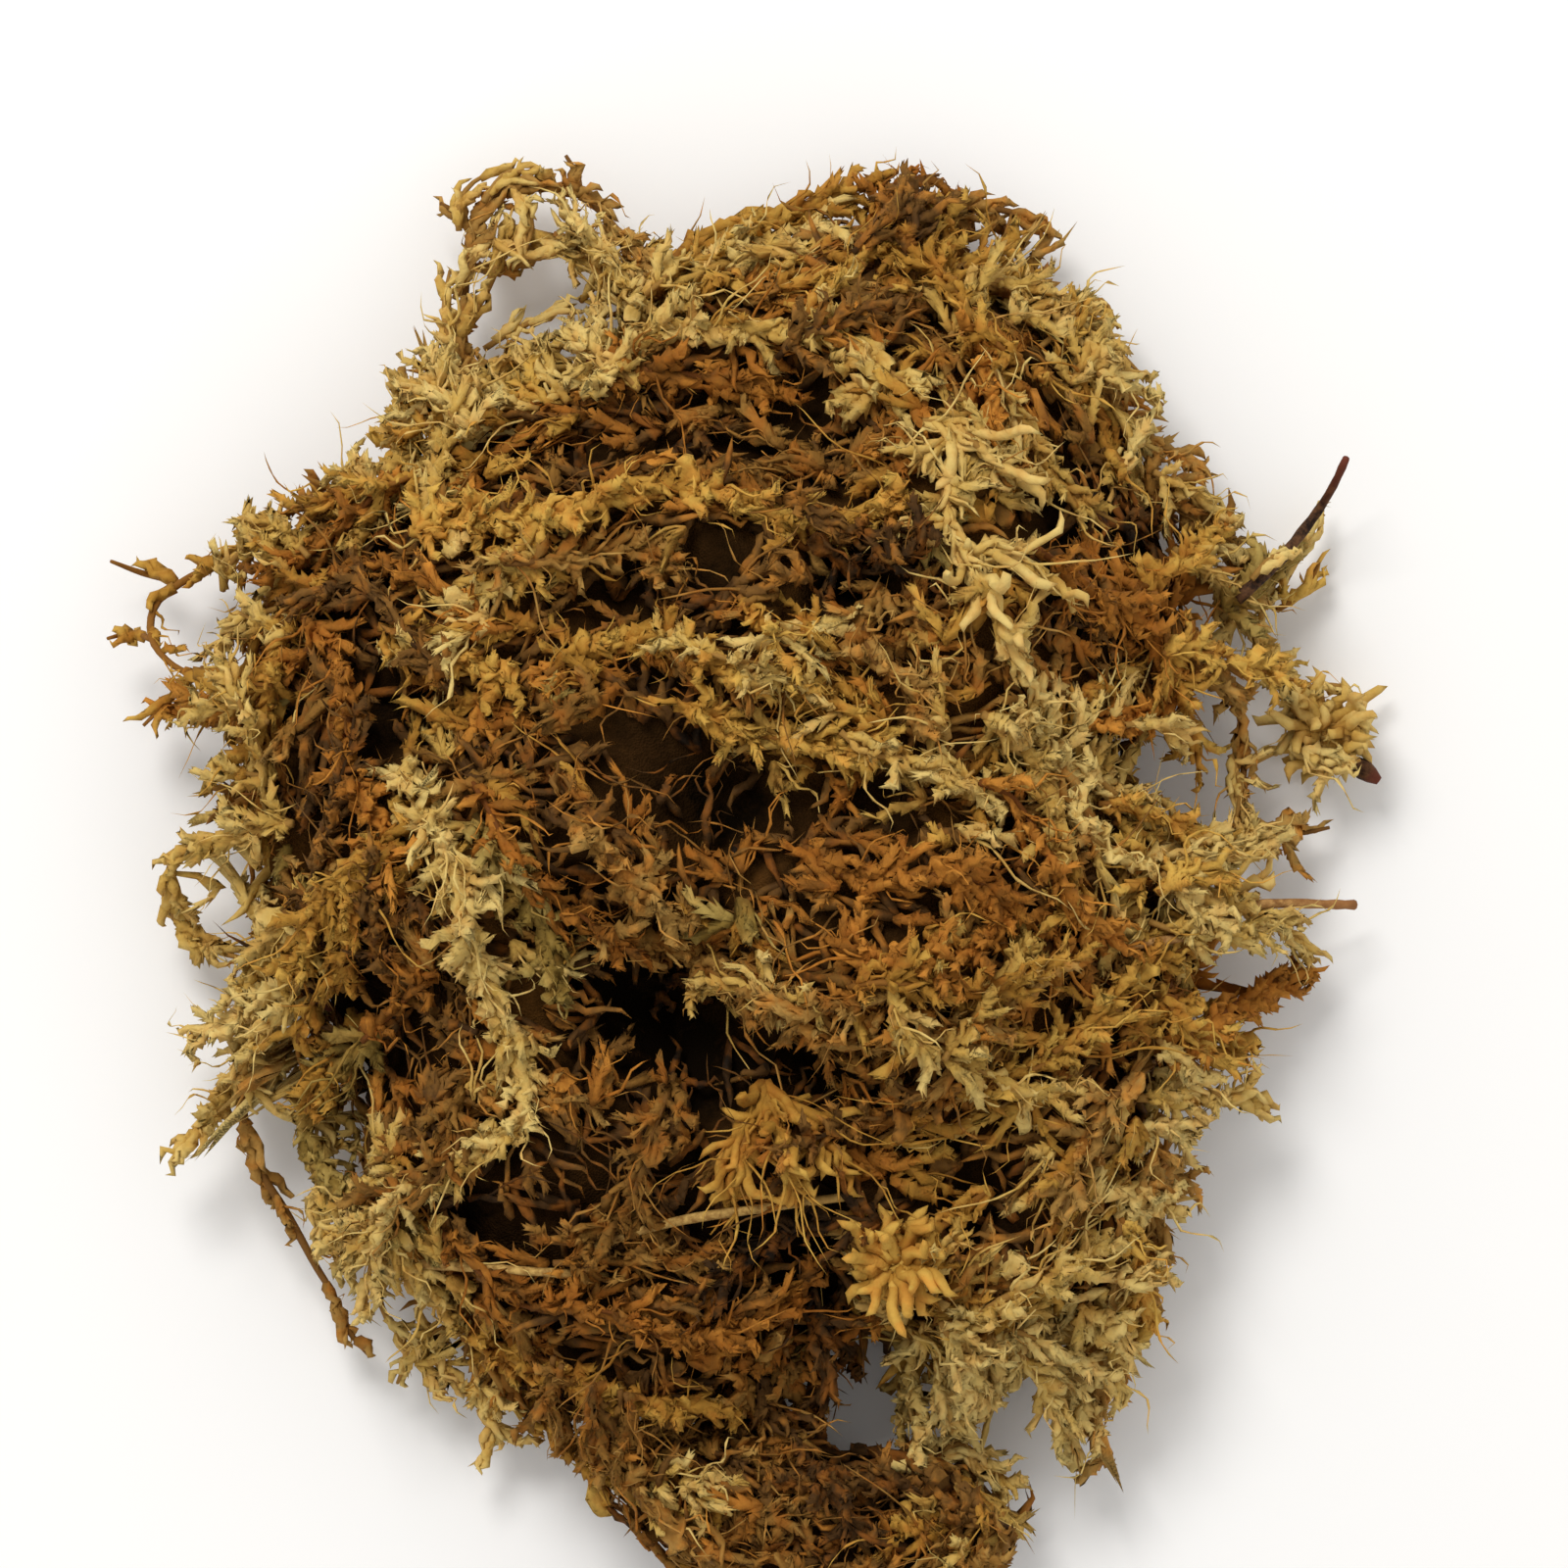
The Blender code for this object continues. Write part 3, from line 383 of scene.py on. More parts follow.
# Gaps that are seen through, as x, y and radius
OPEN_GAPS = (
    (-56.5, 28, 3.4), (-22.5, 60.5, 4.6), (-24, 66.5, 1.2), (-20, 68.5, 1.2), (-27, 58, 0.9),
    (38.8, 13.6, 0.9), (41.5, 12.2, 1.4), (44.5, 10.4, 1.8), (47.5, 8, 1.4), (49, 5.5, 0.7),
    (48.7, 15.3, 1.5), (53, 15, 1.0), (56, 7.5, 1.3),
    (51, -9, 2.2), (48.5, -11, 1.5), (-53, -2, 1.0), (-54.5, -9, 1.2), (-58, -5, 0.8),
    (-46.5, -15, 0.9), (-47, -18.5, 1.2), (-44.5, -19.5, 0.9), (-47.5, -27, 2.6), (-46.5, -31, 2.4),
    (-41.5, -29, 0.9), (-44, -35.5, 0.9), (-40, -44, 1.0), (-36.5, -46.5, 0.9),
    (13, -50.5, 1.1), (12, -53, 1.9), (11.4, -55.5, 2.5), (10.8, -57.5, 1.9), (7, -66.5, 1.0),
    (26, -56, 1.8), (28.5, -55, 1.8),
)

# Colour over the clump, as x, y, width, how pale from 0 to 1 and how rusty from 0 to 1. The paleness is
# partly the moss's own colour and partly painted light and shade: zones of near-nil paleness paint the deep
# shade of the hollows, and the palest zones on the east rim paint light where that side falls into shadow.
ZONES = (
    (-17, 62, 8, 0.78, 0.15), (-1, 66, 7, 0.72, 0.35), (9, 70, 5, 0.75, 0.30),
    (17, 68, 4, 0.22, 0.65), (14, 60, 5, 0.32, 0.30), (24, 64, 5, 0.62, 0.50),
    (32, 67, 5, 0.85, 0.05), (36, 55, 7, 0.68, 0.15), (-35, 52, 7, 0.68, 0.05),
    (-20, 55, 7, 0.72, 0.20), (2, 56, 6, 0.55, 0.45), (-22, 43, 5, 0.22, 0.60),
    (-8, 45, 7, 0.25, 0.50), (6, 46, 7, 0.26, 0.35), (18, 47, 5, 0.66, 0.30),
    (25, 43, 5, 0.82, 0.05), (33, 46, 4, 0.30, 0.15), (41, 46, 5, 0.90, 0.05),
    (50, 40, 5, 0.92, 0.10), (42, 38, 4, 0.12, 0.30), (34, 38, 4, 0.08, 0.40),
    (-31, 42, 5, 0.78, 0.05), (-29, 37, 4, 0.70, 0.35), (-18, 36, 4, 0.76, 0.15),
    (-8, 39, 4, 0.72, 0.45), (4, 38, 4, 0.58, 0.30), (12, 31, 4, 0.06, 0.30),
    (-14, 31, 4, 0.18, 0.45), (-38, 30, 5, 0.14, 0.60), (-48, 32, 6, 0.55, 0.15),
    (-61, 26, 4, 0.75, 0.15), (-53, 20, 7, 0.64, 0.40), (-41, 20, 5, 0.30, 0.75),
    (-35, 17, 4, 0.05, 0.40), (-28, 25, 5, 0.62, 0.35), (-18, 22, 6, 0.50, 0.55),
    (-8, 17, 4, 0.22, 0.65), (1, 15, 4, 0.70, 0.40), (14, 15, 4, 0.75, 0.30),
    (-4, 29, 5, 0.18, 0.50), (6, 19, 6, 0.72, 0.40), (22, 31, 4, 0.76, 0.15),
    (32, 31, 4, 0.18, 0.70), (41, 27, 6, 0.38, 0.75), (54, 30, 6, 0.95, 0.05),
    (59, 16, 7, 0.98, 0.05), (20, 20, 5, 0.62, 0.15), (29, 17, 5, 0.76, 0.20),
    (40, 16, 5, 0.70, 0.35), (-33, 9, 3, 0.80, 0.15), (-27, 3, 4, 0.88, 0.10),
    (-43, 9, 4, 0.12, 0.65), (-52, 4, 7, 0.72, 0.10), (-17, 10, 5, 0.32, 0.30),
    (-11, 5, 4, 0.30, 0.40), (-2, 9, 4.5, 0.06, 0.35), (13, 8, 4, 0.18, 0.50),
    (22, 9, 4, 0.74, 0.15), (28, 2, 4, 0.25, 0.60), (34, 10, 5, 0.76, 0.30),
    (-40, 1, 5, 0.45, 0.50), (-19, -1, 4, 0.25, 0.60), (-9, 0, 5, 0.48, 0.30),
    (11, -3, 6, 0.38, 0.85), (25, -6, 6, 0.52, 0.60), (44, -1, 7, 0.75, 0.35),
    (58, 0, 6, 1.00, 0.10), (-54, -10, 7, 0.80, 0.10), (-36, -7, 5, 0.12, 0.55),
    (-32, -4, 3.5, 0.35, 0.40), (-25, -8, 4, 0.78, 0.25), (-11, -11, 5, 0.00, 0.20),
    (-5, -18, 5, 0.00, 0.20), (0, -7, 5, 0.52, 0.20), (15, -13, 7, 0.52, 0.45),
    (37, -12, 6, 0.45, 0.60), (50, -13, 6, 0.68, 0.60), (7, -20, 5, 0.10, 0.30),
    (-37, -17, 6, 0.22, 0.50), (-23, -22, 3, 0.78, 0.15), (-54, -24, 6, 0.82, 0.05),
    (-14, -26, 6, 0.32, 0.25), (-4, -32, 5, 0.10, 0.25), (3, -26, 3.5, 0.55, 0.20),
    (23, -28, 4, 0.25, 0.40), (30, -20, 7, 0.62, 0.40), (48, -22, 6, 0.90, 0.10),
    (-40, -31, 6, 0.62, 0.20), (-27, -31, 5, 0.15, 0.40), (6, -38, 5, 0.00, 0.35),
    (15, -40, 4, 0.70, 0.20), (24, -34, 4, 0.00, 0.40), (28, -43, 7, 0.74, 0.10),
    (40, -42, 7, 0.88, 0.15), (42, -33, 5, 0.90, 0.15), (-36, -41, 6, 0.75, 0.25),
    (-42, -45, 4, 0.90, 0.10), (-22, -42, 6, 0.30, 0.40), (-7, -46, 6, 0.35, 0.60),
    (12, -49, 4, 0.08, 0.30), (24, -52, 6, 0.85, 0.10), (38, -54, 5, 0.80, 0.15),
    (-28, -51, 6, 0.60, 0.20), (-14, -55, 6, 0.22, 0.30), (0, -54, 5, 0.45, 0.30),
    (8, -60, 5, 0.05, 0.30), (-10, -66, 7, 0.68, 0.15), (8, -67, 7, 0.36, 0.35),
    (24, -66, 6, 0.52, 0.15),
)

# How wide a zone spreads for its width, and the weight, paleness and rust away from all zones
ZONE_SPREAD = 0.6
ZONE_PLAIN = (0.03, 0.55, 0.25)

# Where the moss is a thin net, as x, y and radius
NETS = ((-22, 64, 11), (-59, 27, 9), (50, 12, 5))


class Growth(NamedTuple):
    """How branches stand along a stem, with their lean in degrees and the coat pressed to it."""

    kind: str
    reach: tuple
    half_width: float
    spacing: float
    coat: float
    lean: tuple = (15, 70)


LEAFY_GROWTH = Growth("leafy", (2.5, 7.0), 0.95, 1.5, 1.0)
LOOSE_GROWTH = Growth("leafy", (2.5, 7.0), 0.75, 1.9, 0.7)
SMOOTH_GROWTH = Growth("smooth", (4.0, 10.0), 0.62, 2.2, 2.4)
FAN_GROWTH = Growth("smooth", (5.0, 9.0), 0.6, 0.8, 1.5, (3, 22))
GROWTH_OF = {
    "pale_strand": SMOOTH_GROWTH,
    "east_fork_strand": SMOOTH_GROWTH,
    "east_curl_strand": SMOOTH_GROWTH,
    "south_fan_strand": FAN_GROWTH,
}
FORK_FULLNESS = 0.8

# Branches on a stem and in a head
HEAD_BRANCHES = 70
HEAD_BRANCH_WIDTH = 0.7
BRANCH_TURN = 0.9
SHORTER_TO_TIP = 0.35
COAT_LENGTH = (2.5, 5)
COAT_OFF = (0.5, 1.2)
RIM_SLACK = 0.5
NET_WIDTH = 0.6

# Shares of thin fibres and scraps of leaf among the branches of a net and of other strands
NET_MIX = (0.5, 0.03)
STEM_MIX = (0.3, 0.1)

# How the colour zones, with their painted light and shade, and chance change the tone
ZONE_TONE = 1.4
ZONE_TONE_MIDDLE = 0.6
BRANCH_TONE = (0.15, 0.28)
COAT_TONE = (0.1, 0.15)
HEAD_TONE = (0, 0.35)
BUNCH_TONE = (0, 0.32)

# Radii of the bare stems inside the branches
MAIN_STEM = 0.45
FORK_STEM = 0.32
LOOSE_STEM = (0.34, 0.3, 0.18)

# Bunches of branches over the mat
PALEST_BARE = 0.1
COVER_CHANGE = 0.16
COVER_SOFTNESS = 0.14
ROPE_ROOM = 4.0
ROPE_COVER = 0.45
BUNCH_LIFT_CHANGE = 0.6
BUNCH_SINK = 1.0

FLOOR_ROOM = 0.35


def eased(share):
    """A share from 0 to 1 with a gentle start and end."""
    share = min(max(share, 0.0), 1.0)
    return share * share * (3 - 2 * share)


def reach_at(turn, outline):
    """How far an outline reaches from the mat's middle in the direction of an angle."""
    degrees = math.degrees(turn) % 360
    for (before, near), (after, far) in zip(outline, outline[1:]):
        if before <= degrees <= after:
            return near + (far - near) * eased((degrees - before) / (after - before))
    return outline[0][1]


def past_rim(point):
    """How far a point lies beyond the reach of the rim's branches, below zero within it."""
    away = Vector(point) - MAT_MIDDLE
    return away.xy.length - reach_at(math.atan2(away.y, away.x), RIM_REACH)


def relief_at(x, y):
    """How far the hollows and lumps lower or raise the mat's top at a place."""
    total = 0.0
    for at_x, at_y, width, rise in MAT_RELIEF:
        away = ((x - at_x) ** 2 + (y - at_y) ** 2) / (MAT_RELIEF_SPREAD * width) ** 2
        total += rise * math.exp(-away / 2)
    return total


def mat_point(on_ball):
    """Where a point of the unit ball goes on the mat."""
    share = math.sqrt(max(0.0, 1 - abs(on_ball.z)))
    turn = math.atan2(on_ball.y, on_ball.x)
    outward = Vector((math.cos(turn), math.sin(turn), 0))
    place = MAT_MIDDLE + reach_at(turn, MAT_REACH) * share * outward
    if on_ball.z >= 0:
        dome = (1 - share**MAT_DOME_FULLNESS) ** MAT_DOME_ROUNDNESS
        near_rim = eased(3 * (1 - share))
        place.z = MAT_RIM_HEIGHT + MAT_DOME_HEIGHT * dome + relief_at(place.x, place.y) * near_rim
    else:
        under = eased((share - MAT_FLAT_SHARE) / (1 - MAT_FLAT_SHARE))
        place.z = -MAT_SINK + (MAT_RIM_HEIGHT + MAT_SINK) * under
    if on_ball.z >= 0 or share > MAT_FLAT_SHARE + 0.15:
        place += MAT_ROUGHNESS * noise.noise_vector(place / MAT_GRAIN)
    return place


def ball(subdivisions):
    mesh = bmesh.new()
    bmesh.ops.create_icosphere(mesh, subdivisions=subdivisions, radius=1)
    return mesh


def mat_body():
    """The mat's closed surface, cut flat where it rests."""
    mesh = ball(4)
    for vertex in mesh.verts:
        vertex.co = mat_point(vertex.co)
    cut = bmesh.ops.bisect_plane(
        mesh,
        geom=mesh.verts[:] + mesh.edges[:] + mesh.faces[:],
        plane_co=(0, 0, 0),
        plane_no=(0, 0, 1),
        clear_inner=True,
    )
    rim = [piece for piece in cut["geom_cut"] if isinstance(piece, bmesh.types.BMEdge)]
    bmesh.ops.contextual_create(mesh, geom=rim)
    bmesh.ops.triangulate(mesh, faces=mesh.faces[:])
    bmesh.ops.recalc_face_normals(mesh, faces=mesh.faces[:])
    return mesh


def lobe_body():
    """The closed surface of the lower lobe."""
    mesh = ball(3)
    turn = Matrix.Rotation(LOBE_TURN, 3, "Z")
    for vertex in mesh.verts:
        place = LOBE_MIDDLE + turn @ (vertex.co * LOBE_HALF_SIZE)
        vertex.co = place + MAT_ROUGHNESS * noise.noise_vector(place / MAT_GRAIN)
    return mesh


def smooth_route(route, step):
    """Evenly spaced points on a smooth curve through the chosen ones, with the extra height as z."""
    chosen = [Vector((*point, 0)[:3]) for point in route]
    chosen = [2 * chosen[0] - chosen[1]] + chosen + [2 * chosen[-1] - chosen[-2]]
    fine = []
    for a, b, c, d in zip(chosen, chosen[1:], chosen[2:], chosen[3:]):
        for share in np.arange(0, 1, 0.05):
            curve = 2 * b + (c - a) * share + (2 * a - 5 * b + 4 * c - d) * share**2
            fine.append((curve + (3 * b - a - 3 * c + d) * share**3) / 2)
    fine.append(chosen[-2])
    fine = np.array(fine)
    lengths = np.concatenate([[0], np.cumsum(np.linalg.norm(np.diff(fine, axis=0), axis=1))])
    count = max(3, round(lengths[-1] / step) + 1)
    wanted = np.linspace(0, lengths[-1], count)
    return np.column_stack([np.interp(wanted, lengths, fine[:, axis]) for axis in range(3)])


class Tangle:
    """The mat, the lobe and the stems laid so far, and the room left round them."""

    def __init__(self, bodies):
        self.trees = [BVHTree.FromBMesh(body) for body in bodies]
        self.runs = np.empty((0, 7))
        self.owners = np.empty(0, int)

    def add(self, points, radii, owner):
        thickest = np.maximum(radii[:-1], radii[1:])
        runs = np.column_stack([points[:-1], points[1:], thickest])
        self.runs = np.vstack([self.runs, runs])
        self.owners = np.concatenate([self.owners, np.full(len(runs), owner)])

    def solid_top(self, point):
        """The height of the mat or the lobe under a point, or nothing past their rim."""
        above = Vector((point[0], point[1], 100))
        hits = [tree.ray_cast(above, Vector((0, 0, -1)))[0] for tree in self.trees]
        return max([hit.z for hit in hits if hit], default=None)

    def top(self, point):
        """The height of the mat or the lobe under a point, or that of a strand hanging free."""
        above = Vector((point[0], point[1], 100))
        free = HANG_HEIGHT + HANG_CHANGE * noise.noise(above / HANG_GRAIN)
        solid = self.solid_top(point)
        return free if solid is None else max(solid, free)

    def bodies_room(self, point):
        """How far a point is from the mat and the lobe, below zero inside them."""
        rooms = []
        for tree in self.trees:
            distance = tree.find_nearest(Vector(point))[3]
            normal = tree.ray_cast(Vector(point), Vector((0, 0, 1)))[1]
            inside = normal is not None and normal.z > 0
            rooms.append(-distance if inside else distance)
        return min(rooms)

    def room(self, points, owner):
        """How far each point is from all that belongs to another owner."""
        rooms = np.array([self.bodies_room(point) for point in points])
        others = self.runs[self.owners != owner]
        if len(others):
            along = others[:, 3:6] - others[:, :3]
            away = points[:, None] - others[None, :, :3]
            share = (away * along).sum(2) / np.maximum((along**2).sum(1), 1e-9)
            nearest = away - np.clip(share, 0, 1)[:, :, None] * along
            rooms = np.minimum(rooms, (np.linalg.norm(nearest, axis=2) - others[:, 6]).min(1))
        return rooms


def lay(route, radius, owner, tangle, root=None):
    """The points of a stem draped over the mat and over the stems laid before it."""
    points = smooth_route(route, STEM_STEP)
    for point in points:
        point[2] += tangle.top(point) + radius + SEAT_GAP
    if root is not None:
        points[0] = root
    drop = STEM_SLOPE * STEM_STEP
    for _ in range(LAY_TRIES):
        middles = (points[:-1] + points[1:]) / 2
        lack = radius + SEAT_GAP - tangle.room(points, owner)
        between = radius + SEAT_GAP - tangle.room(middles, owner)
        lack[:-1] = np.maximum(lack[:-1], between)
        lack[1:] = np.maximum(lack[1:], between)
        if root is not None:
            lack[0] = 0
        if lack.max() <= 0:
            break
        points[:, 2] += np.maximum(lack, 0) * 1.1
        for step in range(1, len(points)):
            points[step, 2] = max(points[step, 2], points[step - 1, 2] - drop)
        for step in range(len(points) - 2, 0 if root is not None else -1, -1):
            points[step, 2] = max(points[step, 2], points[step + 1, 2] - drop)
    return points


def with_head(points, radius, owner, tangle):
    """A stem that ends in the middle of its head, high enough for the head's core to clear the rest."""
    core = radius * HEAD_CORE_SHARE
    middle = points[-1].copy()
    while tangle.room(middle[None], owner)[0] < core + SEAT_GAP:
        middle[2] += 0.2
    tangle.add(np.array([middle, middle + (0, 0, 0.1)]), np.full(2, core), owner)
    return np.vstack([points[:-1], middle])


def lay_all(bodies):
    """The way every stem, fork and bit of litter lies."""
    tangle = Tangle(bodies)
    stems = []
    for owner, strand in enumerate(STRANDS):
        main = lay(strand.route, STEM_RADIUS, owner, tangle)
        if strand.head:
            main = with_head(main, strand.head, owner, tangle)
        tangle.add(main, np.full(len(main), STEM_RADIUS), owner)
        lines = [main]
        for fork in strand.forks:
            nearest = main[np.linalg.norm(main[:, :2] - np.array(fork[0][:2]), axis=1).argmin()]
            line = lay(fork, FORK_RADIUS, owner, tangle, root=nearest)
            tangle.add(line, np.full(len(line), FORK_RADIUS), owner)
            lines.append(line)
        stems.append(lines)
    bare = []
    for number, litter in enumerate(LITTER):
        owner = len(STRANDS) + number
        line = lay(litter.route, litter.radii[0], owner, tangle)
        tangle.add(line, np.full(len(line), max(litter.radii)), owner)
        bare.append(line)
    return tangle, stems, bare


def zone_at(x, y):
    """How pale and how rusty the moss is at a place; the paleness carries painted shade in the hollows and
    painted light on the east rim.
    """
    spots = np.array(ZONES)
    away = (spots[:, 0] - x) ** 2 + (spots[:, 1] - y) ** 2
    weight, plain_pale, plain_rusty = ZONE_PLAIN
    weights = np.append(np.exp(-away / (2 * (ZONE_SPREAD * spots[:, 2]) ** 2)), weight)
    pale = np.append(spots[:, 3], plain_pale)
    rusty = np.append(spots[:, 4], plain_rusty)
    return (weights * pale).sum() / weights.sum(), (weights * rusty).sum() / weights.sum()


def in_gap(point, margin=0.0):
    """Whether a point lies over one of the open gaps."""
    return any(
        (point[0] - x) ** 2 + (point[1] - y) ** 2 < (radius + margin) ** 2 for x, y, radius in OPEN_GAPS
    )


# Prototypes of branches: one unit long along X, one unit in half width
SKIN_CHANGE = (0.75, 1.2)
RING_SHIFT = 0.25
END_LENGTH = 0.8
LEAF_REACH = (0.4, 1.9)
LEAF_FORWARD = (0.1, 1.5)
LEAF_BESIDE = 0.35

# A scrap of leaf, as shares of its size
FLAKE_THICKNESS = 0.22
FLAKE_RAGGEDNESS = 0.9
FLAKE_CRUMPLE = 0.45
FLAKE_TWIST = 0.25


def spindle(share, root, belly, tip):
    """The half width of a branch at a share of its length."""
    if share < belly:
        return root + (1 - root) * eased(share / belly)
    return tip + (1 - tip) * (1 - ((share - belly) / (1 - belly)) ** 1.6)


def leafy_branch(sides, rings, seed, root=0.6, belly=0.35, tip=0.45, leaves=0.5):
    """A straight branch whose ragged leaves are pulled out of its own skin, towards its tip."""
    chance = random.Random(seed)
    work = bmesh.new()
    upright = Matrix.Translation((0.5, 0, 0)) @ Matrix.Rotation(math.radians(90), 4, "Y")
    bmesh.ops.create_cone(
        work, cap_ends=True, segments=sides, radius1=1, radius2=1, depth=1, matrix=upright
    )
    lengthwise = [edge for edge in work.edges if abs(edge.verts[0].co.x - edge.verts[1].co.x) > 0.5]
    bmesh.ops.subdivide_edges(work, edges=lengthwise, cuts=rings - 1)
    skin = [face for face in work.faces if abs(face.normal.x) < 0.5]
    end = [face for face in work.faces if face.normal.x > 0.5 and face.calc_center_median().x > 0.9]
    for vertex in work.verts:
        ring = round(vertex.co.x * rings)
        turn = math.atan2(vertex.co.z, vertex.co.y) + ring * math.pi / sides
        wide = spindle(vertex.co.x, root, belly, tip) * (1 - leaves) * chance.uniform(*SKIN_CHANGE)
        vertex.co.y = wide * math.cos(turn)
        vertex.co.z = wide * math.sin(turn)
        if 0 < ring < rings:
            vertex.co.x += chance.uniform(-RING_SHIFT, RING_SHIFT) / rings
    for vertex in bmesh.ops.poke(work, faces=end)["verts"]:
        vertex.co.x += END_LENGTH / rings
    if leaves:
        for vertex in bmesh.ops.poke(work, faces=skin)["verts"]:
            out = Vector((0, vertex.co.y, vertex.co.z)).normalized()
            beside = Vector((1, 0, 0)).cross(out)
            wide = spindle(vertex.co.x, root, belly, tip)
            reach = wide * (1 - leaves + leaves * chance.uniform(*LEAF_REACH))
            forward = chance.uniform(*LEAF_FORWARD) / rings
            vertex.co = (vertex.co.x + forward, 0, 0)
            vertex.co += out * reach + beside * wide * chance.uniform(-LEAF_BESIDE, LEAF_BESIDE)
    bmesh.ops.triangulate(work, faces=work.faces[:])
    bmesh.ops.recalc_face_normals(work, faces=work.faces)
    return as_mesh(work, "branch")


def flake(seed):
    """A crumpled scrap of torn leaf, thin and with a ragged edge."""
    work = ball(2)
    for vertex in work.verts:
        crumple = noise.noise_vector(vertex.co * 1.7 + Vector((seed, 0, 0)))
        wide = 1 + FLAKE_RAGGEDNESS * noise.noise(vertex.co * 2.9 + Vector((0, seed, 0)))
        flat = Vector((vertex.co.x * wide, vertex.co.y * wide, vertex.co.z * FLAKE_THICKNESS))
        flat.z += FLAKE_CRUMPLE * crumple.z + FLAKE_TWIST * vertex.co.x * vertex.co.y
        vertex.co = ((flat.x + FLAKE_TWIST * crumple.x) * 0.5 + 0.5, flat.y, flat.z)
    return as_mesh(work, "flake")


def as_mesh(work, name):
    mesh = bpy.data.meshes.new(name)
    work.to_mesh(mesh)
    work.free()
    return mesh


PROTOTYPES = {
    "leafy": [leafy_branch(4, 5, seed, leaves=0.38) for seed in (1, 2, 3, 4, 5, 6)],
    "smooth": [
        leafy_branch(5, 6, seed, root=0.8, belly=0.5, tip=0.75, leaves=0) for seed in (4, 5, 6, 7)
    ],
    "slim": [leafy_branch(3, 5, seed, root=0.8, leaves=0) for seed in (7, 8, 9)],
    "thread": [
        leafy_branch(3, 7, seed, root=0.9, belly=0.2, tip=0.5, leaves=0) for seed in (9, 10)
    ],
    "flake": [flake(seed) for seed in (3, 7, 11, 16)],
}

# How far each kind sways off its path, in millimetres
SWAY = {"leafy": 0.45, "smooth": 0.6, "slim": 0.5, "thread": 0.9, "flake": 0.3}

# Fibres and scraps of leaf, beside the branches that they take the place of
THREAD_EXTRA = (0.0, 0.9)
THREAD_HALF_WIDTH = (0.1, 0.24)
THREAD_TONE = 0.3
FLAKE_LENGTH = 0.6
FLAKE_WIDTH = (1.0, 1.7)
STEM_ALONG = -0.5


class Spray:
    """The branches and stems of one piece, before they are made."""

    def __init__(self, name, slot, nodes=()):
        self.name = name
        self.slot = slot
        self.nodes = nodes
        self.branches = {}
        self.stems = []

    def ragged(self, kind, path, half_width, tone, chance, threads, flakes):
        """A branch, or now and then a thin fibre or a scrap of leaf in its place."""
        drawn = chance.random()
        if drawn < threads:
            far = path[2] + (path[2] - path[0]) * chance.uniform(*THREAD_EXTRA)
            thin = chance.uniform(*THREAD_HALF_WIDTH)
            self.branch("thread", [path[0], path[1], far], thin, tone + THREAD_TONE, chance)
        elif drawn < threads + flakes:
            short = path[0].lerp(path[2], FLAKE_LENGTH)
            wide = half_width * chance.uniform(*FLAKE_WIDTH)
            self.branch("flake", [path[0], path[0].lerp(short, 0.5), short], wide, tone, chance)
        else:
            self.branch(kind, path, half_width, tone, chance)

    def branch(self, kind, path, half_width, tone, chance):
        """A branch along a path of three points."""
        number = chance.randrange(len(PROTOTYPES[kind]))
        numbers = [*np.ravel(path), half_width, tone, chance.uniform(0, 2 * math.pi), chance.random()]
        self.branches.setdefault((kind, number), []).append(numbers)

    def stem(self, points, radii, tone):
        self.stems.append((points, radii, tone))


def bent(prototype, rows, sway):
    """Where the prototype's vertices go for each branch, with its tone and place along it."""
    vertices = np.empty(len(prototype.vertices) * 3)
    prototype.vertices.foreach_get("co", vertices)
    vertices = vertices.reshape(-1, 3)
    share = np.clip(vertices[:, 0], -0.2, 1.25)[None, :, None]
    rows = np.array(rows)
    start, knee, tip = rows[:, None, 0:3], rows[:, None, 3:6], rows[:, None, 6:9]
    half_width, tone, roll, curl = rows[:, 9], rows[:, 10], rows[:, 11], rows[:, 12]
    centre = (1 - share) ** 2 * start + 2 * share * (1 - share) * knee + share**2 * tip
    along = 2 * (1 - share) * (knee - start) + 2 * share * (tip - knee)
    along /= np.maximum(np.linalg.norm(along, axis=2, keepdims=True), 1e-9)
    across = np.cross(knee - start, tip - knee + 1e-4)
    across /= np.maximum(np.linalg.norm(across, axis=2, keepdims=True), 1e-9)
    up = np.cross(across, along)
    cos, sin = np.cos(roll)[:, None], np.sin(roll)[:, None]
    wide = half_width[:, None]
    y = wide * (vertices[None, :, 1] * cos - vertices[None, :, 2] * sin)
    z = wide * (vertices[None, :, 1] * sin + vertices[None, :, 2] * cos)
    wave = 2 * math.pi * (share[..., 0] * (0.7 + 0.9 * curl[:, None]) + 7 * curl[:, None])
    y = y + sway * np.sin(wave) * share[..., 0]
    z = z + sway * np.cos(1.3 * wave) * share[..., 0]
    places = centre + y[..., None] * up + z[..., None] * across
    places[..., 2] = np.maximum(places[..., 2], FLOOR_ROOM)
    tones = np.repeat(tone[:, None], len(vertices), axis=1)
    shares = np.repeat(share[0, :, 0][None], len(rows), axis=0)
    return places.reshape(-1, 3), tones.ravel(), shares.ravel()


def copies(prototype, count):
    """So many copies of the prototype in one mesh, one after the other."""
    holder = bpy.data.objects.new("copies", prototype)
    bpy.context.scene.collection.objects.link(holder)
    rows = holder.modifiers.new("rows", "ARRAY")
    rows.count = count
    rows.use_merge_vertices = False
    graph = bpy.context.evaluated_depsgraph_get()
    mesh = bpy.data.meshes.new_from_object(holder.evaluated_get(graph))
    bpy.data.objects.remove(holder)
    return mesh


